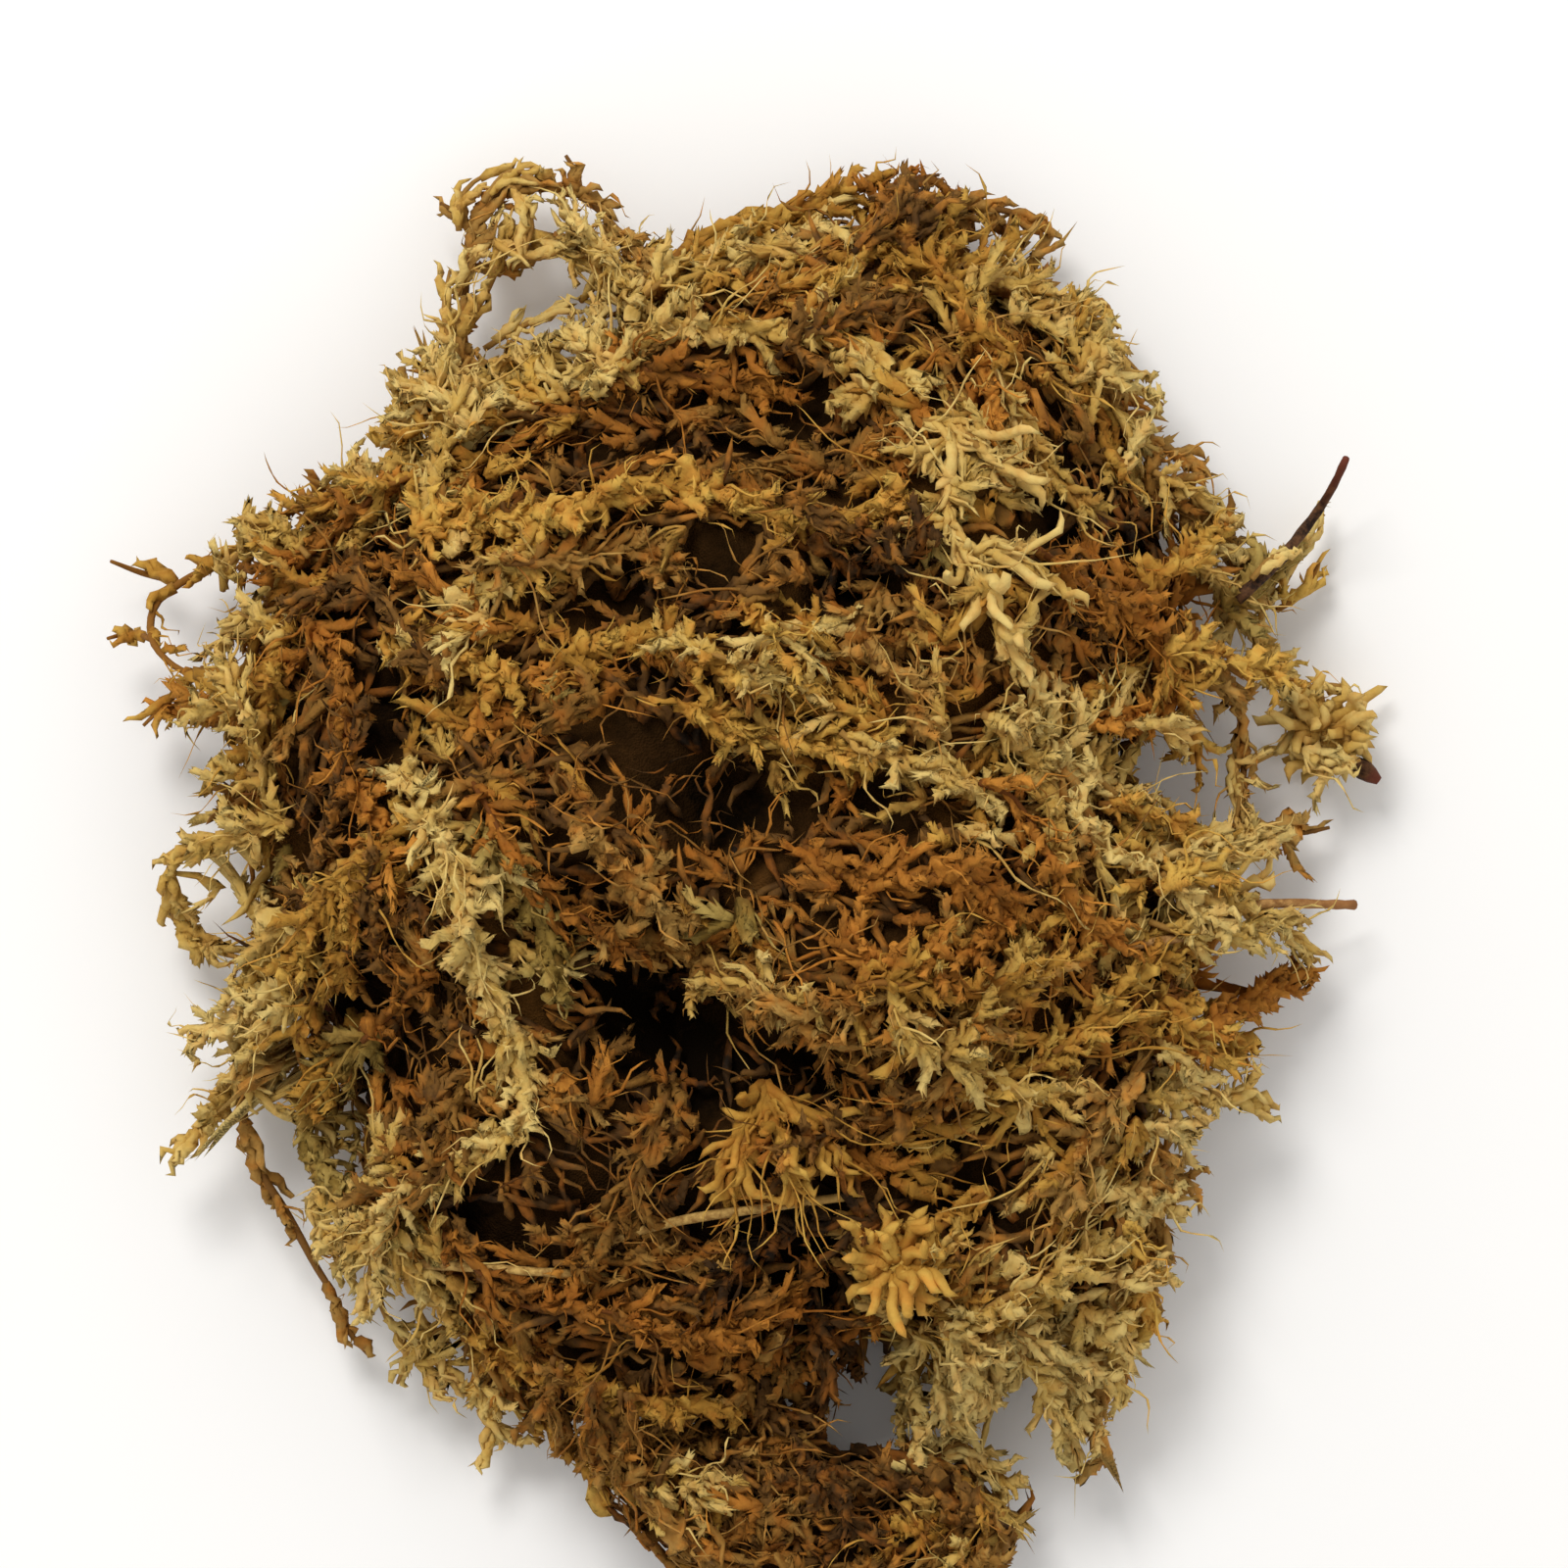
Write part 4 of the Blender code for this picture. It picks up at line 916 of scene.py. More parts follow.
def stem_mesh(points, radii, sides=6):
    """A round stem through the points, as a mesh with its place along it."""
    curve = bpy.data.curves.new("stem", "CURVE")
    curve.dimensions = "3D"
    curve.bevel_depth = 1.0
    curve.bevel_resolution = max(0, sides // 2 - 2)
    curve.use_fill_caps = True
    line = curve.splines.new("POLY")
    fine = smooth_points(points, 1.2)
    line.points.add(len(fine) - 1)
    shares = np.linspace(0, 1, len(fine))
    for spot, place, share in zip(line.points, fine, shares):
        spot.co = (*place, 1)
        spot.radius = float(np.interp(share, np.linspace(0, 1, len(radii)), radii))
    tube = bpy.data.objects.new("stem", curve)
    bpy.context.scene.collection.objects.link(tube)
    graph = bpy.context.evaluated_depsgraph_get()
    mesh = bpy.data.meshes.new_from_object(tube.evaluated_get(graph))
    bpy.data.objects.remove(tube)
    work = bmesh.new()
    work.from_mesh(mesh)
    bmesh.ops.remove_doubles(work, verts=work.verts, dist=1e-5)
    bmesh.ops.triangulate(work, faces=work.faces[:])
    bmesh.ops.recalc_face_normals(work, faces=work.faces)
    work.to_mesh(mesh)
    work.free()
    return mesh


def smooth_points(points, step):
    """Evenly spaced points on a smooth curve through a stem's points."""
    points = np.array(points)
    lengths = np.concatenate([[0], np.cumsum(np.linalg.norm(np.diff(points, axis=0), axis=1))])
    padded = np.vstack([2 * points[0] - points[1], points, 2 * points[-1] - points[-2]])
    count = max(3, round(lengths[-1] / step) + 1)
    fine = []
    for number in range(count):
        at = number / (count - 1) * (len(points) - 1)
        step_at = min(int(at), len(points) - 2)
        share = at - step_at
        a, b, c, d = padded[step_at : step_at + 4]
        curve = 2 * b + (c - a) * share + (2 * a - 5 * b + 4 * c - d) * share**2
        fine.append((curve + (3 * b - a - 3 * c + d) * share**3) / 2)
    return np.array(fine)


def make(spray, materials):
    """The piece that a spray's branches and stems make up."""
    work = bmesh.new()
    places, tones, shares = [], [], []
    for (kind, number), rows in sorted(spray.branches.items()):
        prototype = PROTOTYPES[kind][number]
        work.from_mesh(copies(prototype, len(rows)))
        for store, part in zip((places, tones, shares), bent(prototype, rows, SWAY[kind])):
            store.append(part)
    for points, radii, tone in spray.stems:
        mesh = stem_mesh(points, radii)
        work.from_mesh(mesh)
        vertices = np.empty(len(mesh.vertices) * 3)
        mesh.vertices.foreach_get("co", vertices)
        places.append(vertices.reshape(-1, 3))
        tones.append(np.full(len(mesh.vertices), tone))
        shares.append(np.full(len(mesh.vertices), STEM_ALONG))
    mesh = bpy.data.meshes.new(spray.name)
    work.to_mesh(mesh)
    work.free()
    mesh.vertices.foreach_set("co", (np.vstack(places) * MM).ravel())
    for name, values in (("tone", tones), ("along", shares)):
        layer = mesh.attributes.new(name, "FLOAT", "POINT")
        layer.data.foreach_set("value", np.concatenate(values))
    mesh.update()
    mesh.shade_smooth()
    piece = bpy.data.objects.new(spray.name, mesh)
    bpy.context.scene.collection.objects.link(piece)
    mesh.materials.append(materials[spray.slot])
    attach(piece, "root")
    if spray.nodes:
        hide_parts(*spray.nodes)
    return piece


# Growing branches on stems and on the mat


DEEPEST = 12


def kept_out(tangle, point, room=0.3):
    """A point moved out of the mat or the lobe where it lies inside them."""
    point = Vector(point)
    for tree in tangle.trees:
        place, normal, _, distance = tree.find_nearest(point)
        if (point - place).dot(normal) < room and distance < DEEPEST:
            point = place + normal * room
    return point


def zone_tone(spot):
    """How much paler or darker a place makes the branches that stand there, partly as painted light and
    shade.
    """
    return ZONE_TONE * (zone_at(spot.x, spot.y)[0] - ZONE_TONE_MIDDLE)


def grow(spray, points, chance, tangle, growth, tone, full=1.0):
    """Branches in pairs along a stem, with more of them pressed to it as a coat."""
    lengths = np.concatenate([[0], np.cumsum(np.linalg.norm(np.diff(points, axis=0), axis=1))])
    total = lengths[-1]

    def at(distance):
        return Vector([np.interp(distance, lengths, points[:, axis]) for axis in range(3)])

    count = max(1, round(total / (growth.spacing / full)))
    for number in range(count):
        distance = (number + chance.uniform(0, 1)) / count * total
        root = at(distance)
        forward = (at(min(distance + 1, total)) - at(max(distance - 1, 0))).normalized()
        across = forward.cross(Vector((0, 0, 1)))
        across = across.normalized() if across.length > 0.01 else Vector((1, 0, 0))
        above = across.cross(forward).normalized()
        first = chance.uniform(0, 2 * math.pi)
        for branch in range(2):
            around = first + branch * math.pi * chance.uniform(0.7, 1.3)
            away = across * math.cos(around) + above * abs(math.sin(around)) * 0.9
            lean = math.radians(chance.uniform(*growth.lean))
            way = forward * math.cos(lean) + away * math.sin(lean)
            length = chance.uniform(*growth.reach) * (1 - SHORTER_TO_TIP * distance / total)
            turned = way + Vector([chance.uniform(-BRANCH_TURN, BRANCH_TURN) for _ in range(3)])
            knee = root + way * length * 0.5
            tip = knee + turned.normalized() * length * 0.5
            if past_rim(tip) > RIM_SLACK or in_gap(tip) or in_gap(knee):
                continue
            path = [root, kept_out(tangle, knee), kept_out(tangle, tip)]
            thin = any(math.hypot(root.x - x, root.y - y) < radius for x, y, radius in NETS)
            wide = growth.half_width * chance.uniform(0.7, 1.25) * (NET_WIDTH if thin else 1)
            shown = tone + 0.3 * patch_at(root, 5.0, 8) + zone_tone(root)
            shown += chance.gauss(*BRANCH_TONE)
            spray.ragged(growth.kind, path, wide, shown, chance, *(NET_MIX if thin else STEM_MIX))
    for number in range(round(total * (growth.coat * full))):
        distance = chance.uniform(0, max(0.1, total - 2))
        length = chance.uniform(*COAT_LENGTH)
        off = Vector([chance.uniform(-1, 1) for _ in range(3)]).normalized()
        off = off * chance.uniform(*COAT_OFF)
        end = at(min(distance + length, total)) + off * 1.5
        path = [at(distance), at(distance + length / 2) + off, end]
        shown = tone + zone_tone(path[1]) + chance.gauss(*COAT_TONE)
        spray.branch("slim", path, growth.half_width * chance.uniform(0.7, 1.0), shown, chance)


def head(spray, middle, radius, chance, tone):
    """A crowded rosette of short branches round the tip of a stem."""
    for number in range(HEAD_BRANCHES):
        height = 1 - 2 * (number + 0.5) / HEAD_BRANCHES
        turn = number * math.pi * (3 - math.sqrt(5))
        flat = math.sqrt(1 - height**2)
        way = Vector((flat * math.cos(turn), flat * math.sin(turn), height * 0.75))
        bend = Vector([chance.uniform(-BRANCH_TURN, BRANCH_TURN) for _ in range(3)])
        length = radius * chance.uniform(0.65, 1.0)
        knee = middle + way * length * 0.6 + bend
        tip = knee + (way * 0.5 + bend + Vector((0, 0, 0.25))) * length * 0.55
        path = [middle + way * length * 0.2, knee, tip]
        shown = tone + chance.gauss(*HEAD_TONE)
        spray.branch("smooth", path, HEAD_BRANCH_WIDTH, shown, chance)


def strand_spray(strand, lines, tangle):
    """The fine form of one strand: its stems, its forks and their branches."""
    chance = random.Random(f"{strand.name} {SEED}")
    spray = Spray(strand.name + "_leafy", f"moss_{strand.colour}", (strand.name,))
    growth = GROWTH_OF.get(strand.name, LEAFY_GROWTH)
    for number, line in enumerate(lines):
        thick = MAIN_STEM if number == 0 else FORK_STEM
        spray.stem(line, (thick, thick, thick * 0.6), strand.tone)
        full = strand.full if number == 0 else strand.full * FORK_FULLNESS
        grow(spray, line, chance, tangle, growth, strand.tone, full)
    if strand.head:
        head(spray, Vector(lines[0][-1]), strand.head, chance, strand.tone)
    return spray


def route_turns():
    """The middle and the doubled direction of each run of the strands' routes, seen from above."""
    runs = []
    for strand in STRANDS:
        for a, b in zip(strand.route, strand.route[1:]):
            turn = 2 * math.atan2(b[1] - a[1], b[0] - a[0])
            runs.append(((a[0] + b[0]) / 2, (a[1] + b[1]) / 2, math.cos(turn), math.sin(turn)))
    return np.array(runs)


ROUTE_TURNS = route_turns()
ROUTE_SPOTS = np.vstack([smooth_route(strand.route, 1.5)[:, :2] for strand in STRANDS])


def beside_strand(spot):
    """How far a place is from the nearest strand, seen from above."""
    return float(np.sqrt(((ROUTE_SPOTS - (spot[0], spot[1])) ** 2).sum(1).min()))


def flow_at(x, y):
    """The direction that the branches near a place tend to lie in, as an angle."""
    away = (ROUTE_TURNS[:, 0] - x) ** 2 + (ROUTE_TURNS[:, 1] - y) ** 2
    weights = 1 / (away + 9) ** 1.5
    return 0.5 * math.atan2((weights * ROUTE_TURNS[:, 3]).sum(), (weights * ROUTE_TURNS[:, 2]).sum())


def patch_at(spot, grain, seed):
    """A smooth change over the clump from patch to patch, about -1 to 1."""
    return 1.6 * noise.noise(Vector(spot) / grain + Vector((seed, 3 * seed, 7 * seed)))


class Shade(NamedTuple):
    """A colour class: the values it is taken for, where its tone is nil, and its share of draws."""

    colour: str
    below: float
    middle: float
    steepness: float
    share: float = 1.0


RUSTY_SHADES = (
    Shade("umber", 0.22, 0.03, 6),
    Shade("rust", 0.52, 0.4, 4),
    Shade("gold", math.inf, 0.62, 4),
)
PLAIN_SHADES = (
    Shade("umber", 0.24, 0.06, 6),
    Shade("tan", 0.5, 0.42, 4),
    Shade("gold", 0.64, 0.57, 4, share=0.55),
    Shade("grey_green", 0.6, 0.5, 3, share=0.3),
    Shade("straw", math.inf, 0.68, 4),
)


def colour_of(spot, pale, rusty, chance):
    """The colour class and the tone of a bunch of branches at a place."""
    value = 0.56 + 1.25 * (pale - 0.55) + 0.13 * patch_at(spot, 6.0, 1) + chance.gauss(0, 0.09)
    is_rusty = 0.5 + 0.5 * patch_at(spot, 9.0, 2) + chance.gauss(0, 0.15) < rusty * 1.05
    for shade in RUSTY_SHADES if is_rusty else PLAIN_SHADES:
        if value < shade.below and (shade.share == 1 or chance.random() < shade.share):
            return shade.colour, (value - shade.middle) * shade.steepness


def surface_spots(body, count, chance, wanted):
    """Places spread over a surface by area, with its normal there."""
    body.faces.ensure_lookup_table()
    faces = [face for face in body.faces if wanted(face)]
    areas = np.array([face.calc_area() for face in faces])
    ends = np.cumsum(areas) / areas.sum()
    spots = []
    for number in range(count):
        at = (number + chance.random()) / count
        face = faces[min(int(np.searchsorted(ends, at)), len(faces) - 1)]
        a, b = sorted((chance.random(), chance.random()))
        corners = [vertex.co for vertex in face.verts]
        spots.append((corners[0] * a + corners[1] * (b - a) + corners[2] * (1 - b), face.normal.copy()))
    chance.shuffle(spots)
    return spots


def fascicle(sprays, spot, normal, chance, tangle, layer):
    """A bunch of branches that fans out over the mat from one root."""
    x, y, _ = spot
    pale, rusty = zone_at(x, y)
    cover = eased((pale + COVER_CHANGE * patch_at(spot, 7.5, 5) - layer.bare) / COVER_SOFTNESS)
    if pale < PALEST_BARE and chance.random() < 0.5:
        return
    if layer.height > 1 and beside_strand(spot) < ROPE_ROOM:
        cover *= ROPE_COVER
    if chance.random() > cover:
        return
    # Painted shade: the layer's shade darkens the lower layers and the underside of the rim.
    pale *= layer.shade
    colour, tone = colour_of(spot, pale, rusty, chance)
    lift = layer.height * (1 + BUNCH_LIFT_CHANGE * patch_at(spot, 8.0, 4))
    turn = flow_at(x, y) + chance.choice((0, math.pi)) + math.radians(chance.gauss(0, layer.stray))
    main = Vector((math.cos(turn), math.sin(turn), 0))
    main = main - main.dot(normal) * normal
    if main.length < 0.1:
        main = normal.orthogonal()
    main.normalize()
    side = normal.cross(main)
    root = spot + normal * (lift - BUNCH_SINK)
    fan = chance.randint(*layer.bunch)
    for number in range(fan):
        spread = math.radians(chance.uniform(-layer.fan, layer.fan))
        way = main * math.cos(spread) + side * math.sin(spread) + normal * chance.uniform(*layer.rise)
        length = chance.uniform(*layer.reach)
        knee = root + way.normalized() * length * 0.5
        sway = side * chance.uniform(-0.8, 0.8) - normal * chance.uniform(0.0, 0.9) + way
        tip = knee + sway.normalized() * length * 0.5
        if past_rim(tip) > 0 or in_gap(tip) or in_gap(knee):
            continue
        path = [root, kept_out(tangle, knee, lift * 0.6), kept_out(tangle, tip, lift * 0.3)]
        wide = chance.uniform(*layer.half_width)
        shown = tone + chance.gauss(*BUNCH_TONE)
        spray = sprays[layer.name, colour]
        spray.ragged(layer.kind, path, wide, shown, chance, layer.threads, layer.flakes)


class Layer(NamedTuple):
    """One layer of branches over the mat, with its turns in degrees and its bare places' paleness; its
    shade scales the paleness as painted shade and light, darker the lower a layer lies and under the rim.
    """

    name: str
    kind: str
    count: int
    height: float
    shade: float
    bunch: tuple
    fan: float
    stray: float
    rise: tuple
    reach: tuple
    half_width: tuple
    threads: float
    flakes: float
    bare: float


# Painted shade and light by depth: the deep layer is painted darkest, the middle one darker, the top one a
# little lighter.
LAYERS = (
    Layer(
        "deep", "slim", 600, height=-0.9, shade=0.36, bunch=(2, 3), fan=70, stray=70,
        rise=(-0.1, 0.3), reach=(4, 9), half_width=(0.5, 0.8), threads=0.15, flakes=0.1, bare=-1.0,
    ),
    Layer(
        "middle", "leafy", 900, height=0.5, shade=0.8, bunch=(2, 4), fan=60, stray=45,
        rise=(0.0, 0.35), reach=(3, 7), half_width=(0.6, 1.0), threads=0.25, flakes=0.1, bare=0.17,
    ),
    Layer(
        "top", "leafy", 1040, height=1.7, shade=1.05, bunch=(3, 4), fan=45, stray=22,
        rise=(0.0, 0.5), reach=(2.5, 8), half_width=(0.6, 1.1), threads=0.33, flakes=0.1, bare=0.32,
    ),
)
# The layer under the rim is painted darker, as painted shade under the rim.
UNDER = Layer(
    "under", "slim", 620, height=0.6, shade=0.7, bunch=(2, 3), fan=60, stray=70,
    rise=(0.0, 0.35), reach=(5, 10), half_width=(0.7, 1.1), threads=0.1, flakes=0.12, bare=-1.0,
)


# Materials


def new_group(name, inputs, outputs):
    """An empty shader group with named sockets."""
    group = bpy.data.node_groups.new(name, "ShaderNodeTree")
    for label, kind, value in inputs:
        socket = group.interface.new_socket(label, in_out="INPUT", socket_type=kind)
        socket.default_value = value
    for label, kind in outputs:
        group.interface.new_socket(label, in_out="OUTPUT", socket_type=kind)
    return group, group.nodes.new("NodeGroupInput"), group.nodes.new("NodeGroupOutput")


def node(tree, kind, inputs=(), **settings):
    """A node with its settings and with values or links for its inputs."""
    made = tree.nodes.new(kind)
    for name, value in settings.items():
        setattr(made, name, value)
    for socket, value in dict(inputs).items():
        if isinstance(value, bpy.types.NodeSocket):
            tree.links.new(value, made.inputs[socket])
        else:
            made.inputs[socket].default_value = value
    return made


def blend_colour(tree, share, first, second, mode="MIX"):
    made = node(tree, "ShaderNodeMix", data_type="RGBA", blend_type=mode)
    for socket, value in ((0, share), (6, first), (7, second)):
        if isinstance(value, bpy.types.NodeSocket):
            tree.links.new(value, made.inputs[socket])
        else:
            made.inputs[socket].default_value = value
    return made.outputs[2]


def maths(tree, operation, first, second):
    return node(tree, "ShaderNodeMath", {0: first, 1: second}, operation=operation).outputs[0]


def ranged(tree, value, low, high, to_low=0.0, to_high=1.0):
    """A value taken from one range to another, held at its ends."""
    ends = {"From Min": low, "From Max": high, "To Min": to_low, "To Max": to_high}
    return node(tree, "ShaderNodeMapRange", {"Value": value, **ends}).outputs["Result"]


def speckle(tree, place, scale, detail, roughness=0.6):
    """A cloudy pattern, from 0 to 1."""
    settings = {"Vector": place, "Scale": scale, "Detail": detail, "Roughness": roughness}
    return node(tree, "ShaderNodeTexNoise", settings).outputs["Fac"]


# Scales of the leaves' patterns, per metre, and how far each changes the level of the colour
BLOTCH_SCALE = 260.0
STAIN_SCALE = 420.0
PATCH_SCALE = 1100.0
CELL_SCALE = 3800.0
WOOD_SCALE = 900.0
PATCH_DEPTH = 0.55
TONE_DEPTH = 0.36
TIP_PALER = 0.28
ROOT_DARKER = -0.22
PALE_LEVEL = 0.6
DARK_LEVEL = -0.7
STAIN_DARK = (154, 90, 27)
STAIN_PALE = (211, 140, 54)
LEAF_BUMP = 0.00012
CRUMB_BUMP = 0.0009
SHEEN = 0.12


def leaf_colour_group():
    """Dried leaves: the tone of each branch, paler tips, blotches and fine cells."""
    group, given, result = new_group(
        "dried_leaf",
        (
            ("Pale", "NodeSocketColor", (0.6, 0.45, 0.2, 1)),
            ("Middle", "NodeSocketColor", (0.4, 0.25, 0.1, 1)),
            ("Dark", "NodeSocketColor", (0.1, 0.05, 0.02, 1)),
            ("Stem", "NodeSocketColor", (0.3, 0.12, 0.03, 1)),
            ("Rust", "NodeSocketFloat", 0.5),
            ("Blotches", "NodeSocketFloat", 0.3),
        ),
        (("Colour", "NodeSocketColor"), ("Roughness", "NodeSocketFloat"), ("Height", "NodeSocketFloat")),
    )
    place = node(group, "ShaderNodeTexCoord").outputs["Object"]
    tone = node(group, "ShaderNodeAttribute", attribute_name="tone").outputs["Fac"]
    along = node(group, "ShaderNodeAttribute", attribute_name="along").outputs["Fac"]
    blotch = speckle(group, place, BLOTCH_SCALE, 3.0)
    patch = speckle(group, place, PATCH_SCALE, 2.0)
    cells = node(
        group, "ShaderNodeTexVoronoi", {"Vector": place, "Scale": CELL_SCALE}, feature="F1"
    ).outputs["Distance"]
    sway = maths(group, "MULTIPLY", maths(group, "SUBTRACT", blotch, 0.5), given.outputs["Blotches"])
    fine = maths(group, "MULTIPLY", maths(group, "SUBTRACT", patch, 0.5), PATCH_DEPTH)
    level = maths(group, "ADD", sway, fine)
    level = maths(group, "ADD", maths(group, "MULTIPLY", tone, TONE_DEPTH), level)
    tip = ranged(group, along, 0.55, 1.0, 0.0, TIP_PALER)
    root = ranged(group, along, 0.0, 0.4, ROOT_DARKER, 0.0)
    level = maths(group, "ADD", level, maths(group, "ADD", tip, root))
    high = ranged(group, level, 0.0, PALE_LEVEL)
    low = ranged(group, level, 0.0, DARK_LEVEL)
    colour = blend_colour(group, high, given.outputs["Middle"], given.outputs["Pale"])
    colour = blend_colour(group, low, colour, given.outputs["Dark"])
    stained = ranged(group, speckle(group, place, STAIN_SCALE, 2.0, 0.5), 0.46, 0.64)
    rusty = blend_colour(group, high, (*srgb(*STAIN_DARK), 1), (*srgb(*STAIN_PALE), 1))
    colour = blend_colour(group, maths(group, "MULTIPLY", stained, given.outputs["Rust"]), colour, rusty)
    on_stem = maths(group, "LESS_THAN", along, -0.4)
    colour = blend_colour(group, on_stem, colour, given.outputs["Stem"])
    group.links.new(colour, result.inputs["Colour"])
    rough = ranged(group, patch, 0.3, 0.7, 0.68, 0.92)
    group.links.new(rough, result.inputs["Roughness"])
    height = maths(group, "ADD", maths(group, "MULTIPLY", cells, -0.6), patch)
    group.links.new(height, result.inputs["Height"])
    return group


def shaded(name):
    """An empty material with its Principled shader."""
    made = bpy.data.materials.new(name)
    made.use_nodes = True
    shader = made.node_tree.nodes["Principled BSDF"]
    shader.inputs["Specular IOR Level"].default_value = SHEEN
    return made, made.node_tree, shader


class Finish(NamedTuple):
    """Colours as the eye sees them, from 0 to 255, and how rust-stained and blotchy they are."""

    pale: tuple
    middle: tuple
    dark: tuple
    stem: tuple
    rust: float
    blotches: float = 0.9


MOSS_FINISHES = {
    "straw": Finish((215, 187, 114), (191, 154, 75), (134, 93, 34), (150, 112, 54), 0.3),
    "gold": Finish((204, 163, 76), (166, 120, 45), (98, 66, 23), (130, 86, 33), 0.5),
    "tan": Finish((179, 140, 74), (137, 97, 41), (76, 49, 18), (112, 76, 34), 0.6),
    "rust": Finish((202, 138, 56), (152, 97, 34), (78, 48, 16), (104, 60, 22), 0.6),
    "umber": Finish((126, 88, 39), (80, 53, 23), (28, 18, 8), (62, 40, 16), 0.5),
    "grey_green": Finish((180, 155, 86), (131, 105, 46), (72, 55, 21), (106, 82, 38), 0.15),
}
# The inside's colours are painted shade: near black, to stand for the shade in the gaps between the
# branches.
PAINTED_SHADE_INSIDE_FINISH = Finish((92, 60, 26), (54, 35, 16), (18, 12, 6), (13, 8, 4), 0.0, 1.2)

# Bare wood and stems: light streaks, dark streaks and tip
LITTER_COLOURS = {
    "dark_litter": ("dark_bark", (98, 66, 42), (34, 22, 16), (104, 52, 38)),
    "brown_litter": ("brown_stem", (190, 146, 88), (134, 92, 50), (150, 100, 58)),
    "pale_litter": ("pale_stem", (196, 160, 92), (138, 102, 52), (176, 138, 74)),
}


def moss_material(name, group, finish, bump_depth=LEAF_BUMP, specular=SHEEN):
    made, tree, shader = shaded(name)
    shader.inputs["Specular IOR Level"].default_value = specular
    leaf = node(tree, "ShaderNodeGroup", node_tree=group)
    for label in ("pale", "middle", "dark", "stem"):
        leaf.inputs[label.capitalize()].default_value = (*srgb(*getattr(finish, label)), 1)
    leaf.inputs["Blotches"].default_value = finish.blotches
    leaf.inputs["Rust"].default_value = finish.rust
    tree.links.new(leaf.outputs["Colour"], shader.inputs["Base Color"])
    tree.links.new(leaf.outputs["Roughness"], shader.inputs["Roughness"])
    bump = node(
        tree, "ShaderNodeBump", {"Height": leaf.outputs["Height"], "Strength": 0.5, "Distance": bump_depth}
    )
    tree.links.new(bump.outputs["Normal"], shader.inputs["Normal"])
    return made


def wood_material(name, light, dark, tip):
    """Bare wood or stem with fine mottled streaks and a tip of its own colour."""
    made, tree, shader = shaded(name)
    place = node(tree, "ShaderNodeTexCoord").outputs["Object"]
    along = node(tree, "ShaderNodeAttribute", attribute_name="along").outputs["Fac"]
    grain = speckle(tree, place, WOOD_SCALE, 4.0, 0.65)
    colour = blend_colour(tree, ranged(tree, grain, 0.38, 0.62), (*srgb(*dark), 1), (*srgb(*light), 1))
    colour = blend_colour(tree, ranged(tree, along, 0.7, 1.0), colour, (*srgb(*tip), 1))
    tree.links.new(colour, shader.inputs["Base Color"])
    shader.inputs["Roughness"].default_value = 0.75
    bump = node(tree, "ShaderNodeBump", {"Height": grain, "Strength": 0.6, "Distance": 0.0002})
    tree.links.new(bump.outputs["Normal"], shader.inputs["Normal"])
    return made


def srgb(red, green, blue):
    """A colour given as the eye sees it, in linear light."""
    return tuple(
        value / 12.92 if value <= 0.04045 else ((value + 0.055) / 1.055) ** 2.4
        for value in (red / 255, green / 255, blue / 255)
    )


def all_materials():
    group = leaf_colour_group()
    made = {
        f"moss_{colour}": moss_material(f"dried_{colour}_moss", group, finish)
        for colour, finish in MOSS_FINISHES.items()
    }
    # The inside's material paints the shade between the branches.
    made["inside"] = moss_material("dark_inside", group, PAINTED_SHADE_INSIDE_FINISH, CRUMB_BUMP, specular=0.0)
    for slot, (name, light, dark, tip) in LITTER_COLOURS.items():
        made[slot] = wood_material(name, light, dark, tip)
    return made


# The inside of the mat and the lobe, painted dark as painted shade in the gaps between the branches
MAT_CORE_INWARD = 2.6
LOBE_CORE_INWARD = 2.0
CRUMB_SIZE = 2.6
CRUMB_DEPTH = 1.3
DRAWN_FROM_GAPS = 0.13
# How strongly the zones' paleness darkens the inside, as painted shade in the dark zones.
CORE_TONE = 6
CORE_TONE_MIDDLE = 0.4
CORE_ALONG = 0.4


def near_gap(point, room=4.0):
    """How near a point is to an open gap: 1 within it, 0 from the room round it on."""
    away = min(math.hypot(point[0] - x, point[1] - y) - radius for x, y, radius in OPEN_GAPS)
    return eased(1 - away / room)


def core_piece(body, name, middle, inward, materials):
    """The crumbly inside that the branches stand out of, painted dark as painted shade."""
    work = body.copy()
    bmesh.ops.subdivide_edges(work, edges=work.edges[:], cuts=1, use_grid_fill=True)
    bmesh.ops.triangulate(work, faces=work.faces[:])
    work.normal_update()
    moved = []
    for vertex in work.verts:
        rough = noise.fractal(vertex.co / CRUMB_SIZE, 0.8, 2.0, 3)
        place = vertex.co - vertex.normal * (inward - CRUMB_DEPTH * rough)
        inner = Vector((middle.x, middle.y, place.z))
        moved.append(place.lerp(inner, DRAWN_FROM_GAPS * near_gap(place)))
    for vertex, place in zip(work.verts, moved):
        vertex.co = place
        vertex.co.z = max(vertex.co.z, FLOOR_ROOM)
    mesh = bpy.data.meshes.new(name)
    bmesh.ops.scale(work, verts=work.verts, vec=(MM, MM, MM))
    work.to_mesh(mesh)
    work.free()
    # Painted shade: the inside is darker where the zones are darker.
    tones = [CORE_TONE * (zone_at(place.x, place.y)[0] - CORE_TONE_MIDDLE) for place in moved]
    for label, values in (("tone", tones), ("along", np.full(len(tones), CORE_ALONG))):
        layer = mesh.attributes.new(label, "FLOAT", "POINT")
        layer.data.foreach_set("value", values)
    mesh.shade_smooth()
    piece = bpy.data.objects.new(name, mesh)
    bpy.context.scene.collection.objects.link(piece)
    mesh.materials.append(materials["inside"])
    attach(piece, "root")
    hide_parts("matted_moss")
    return piece


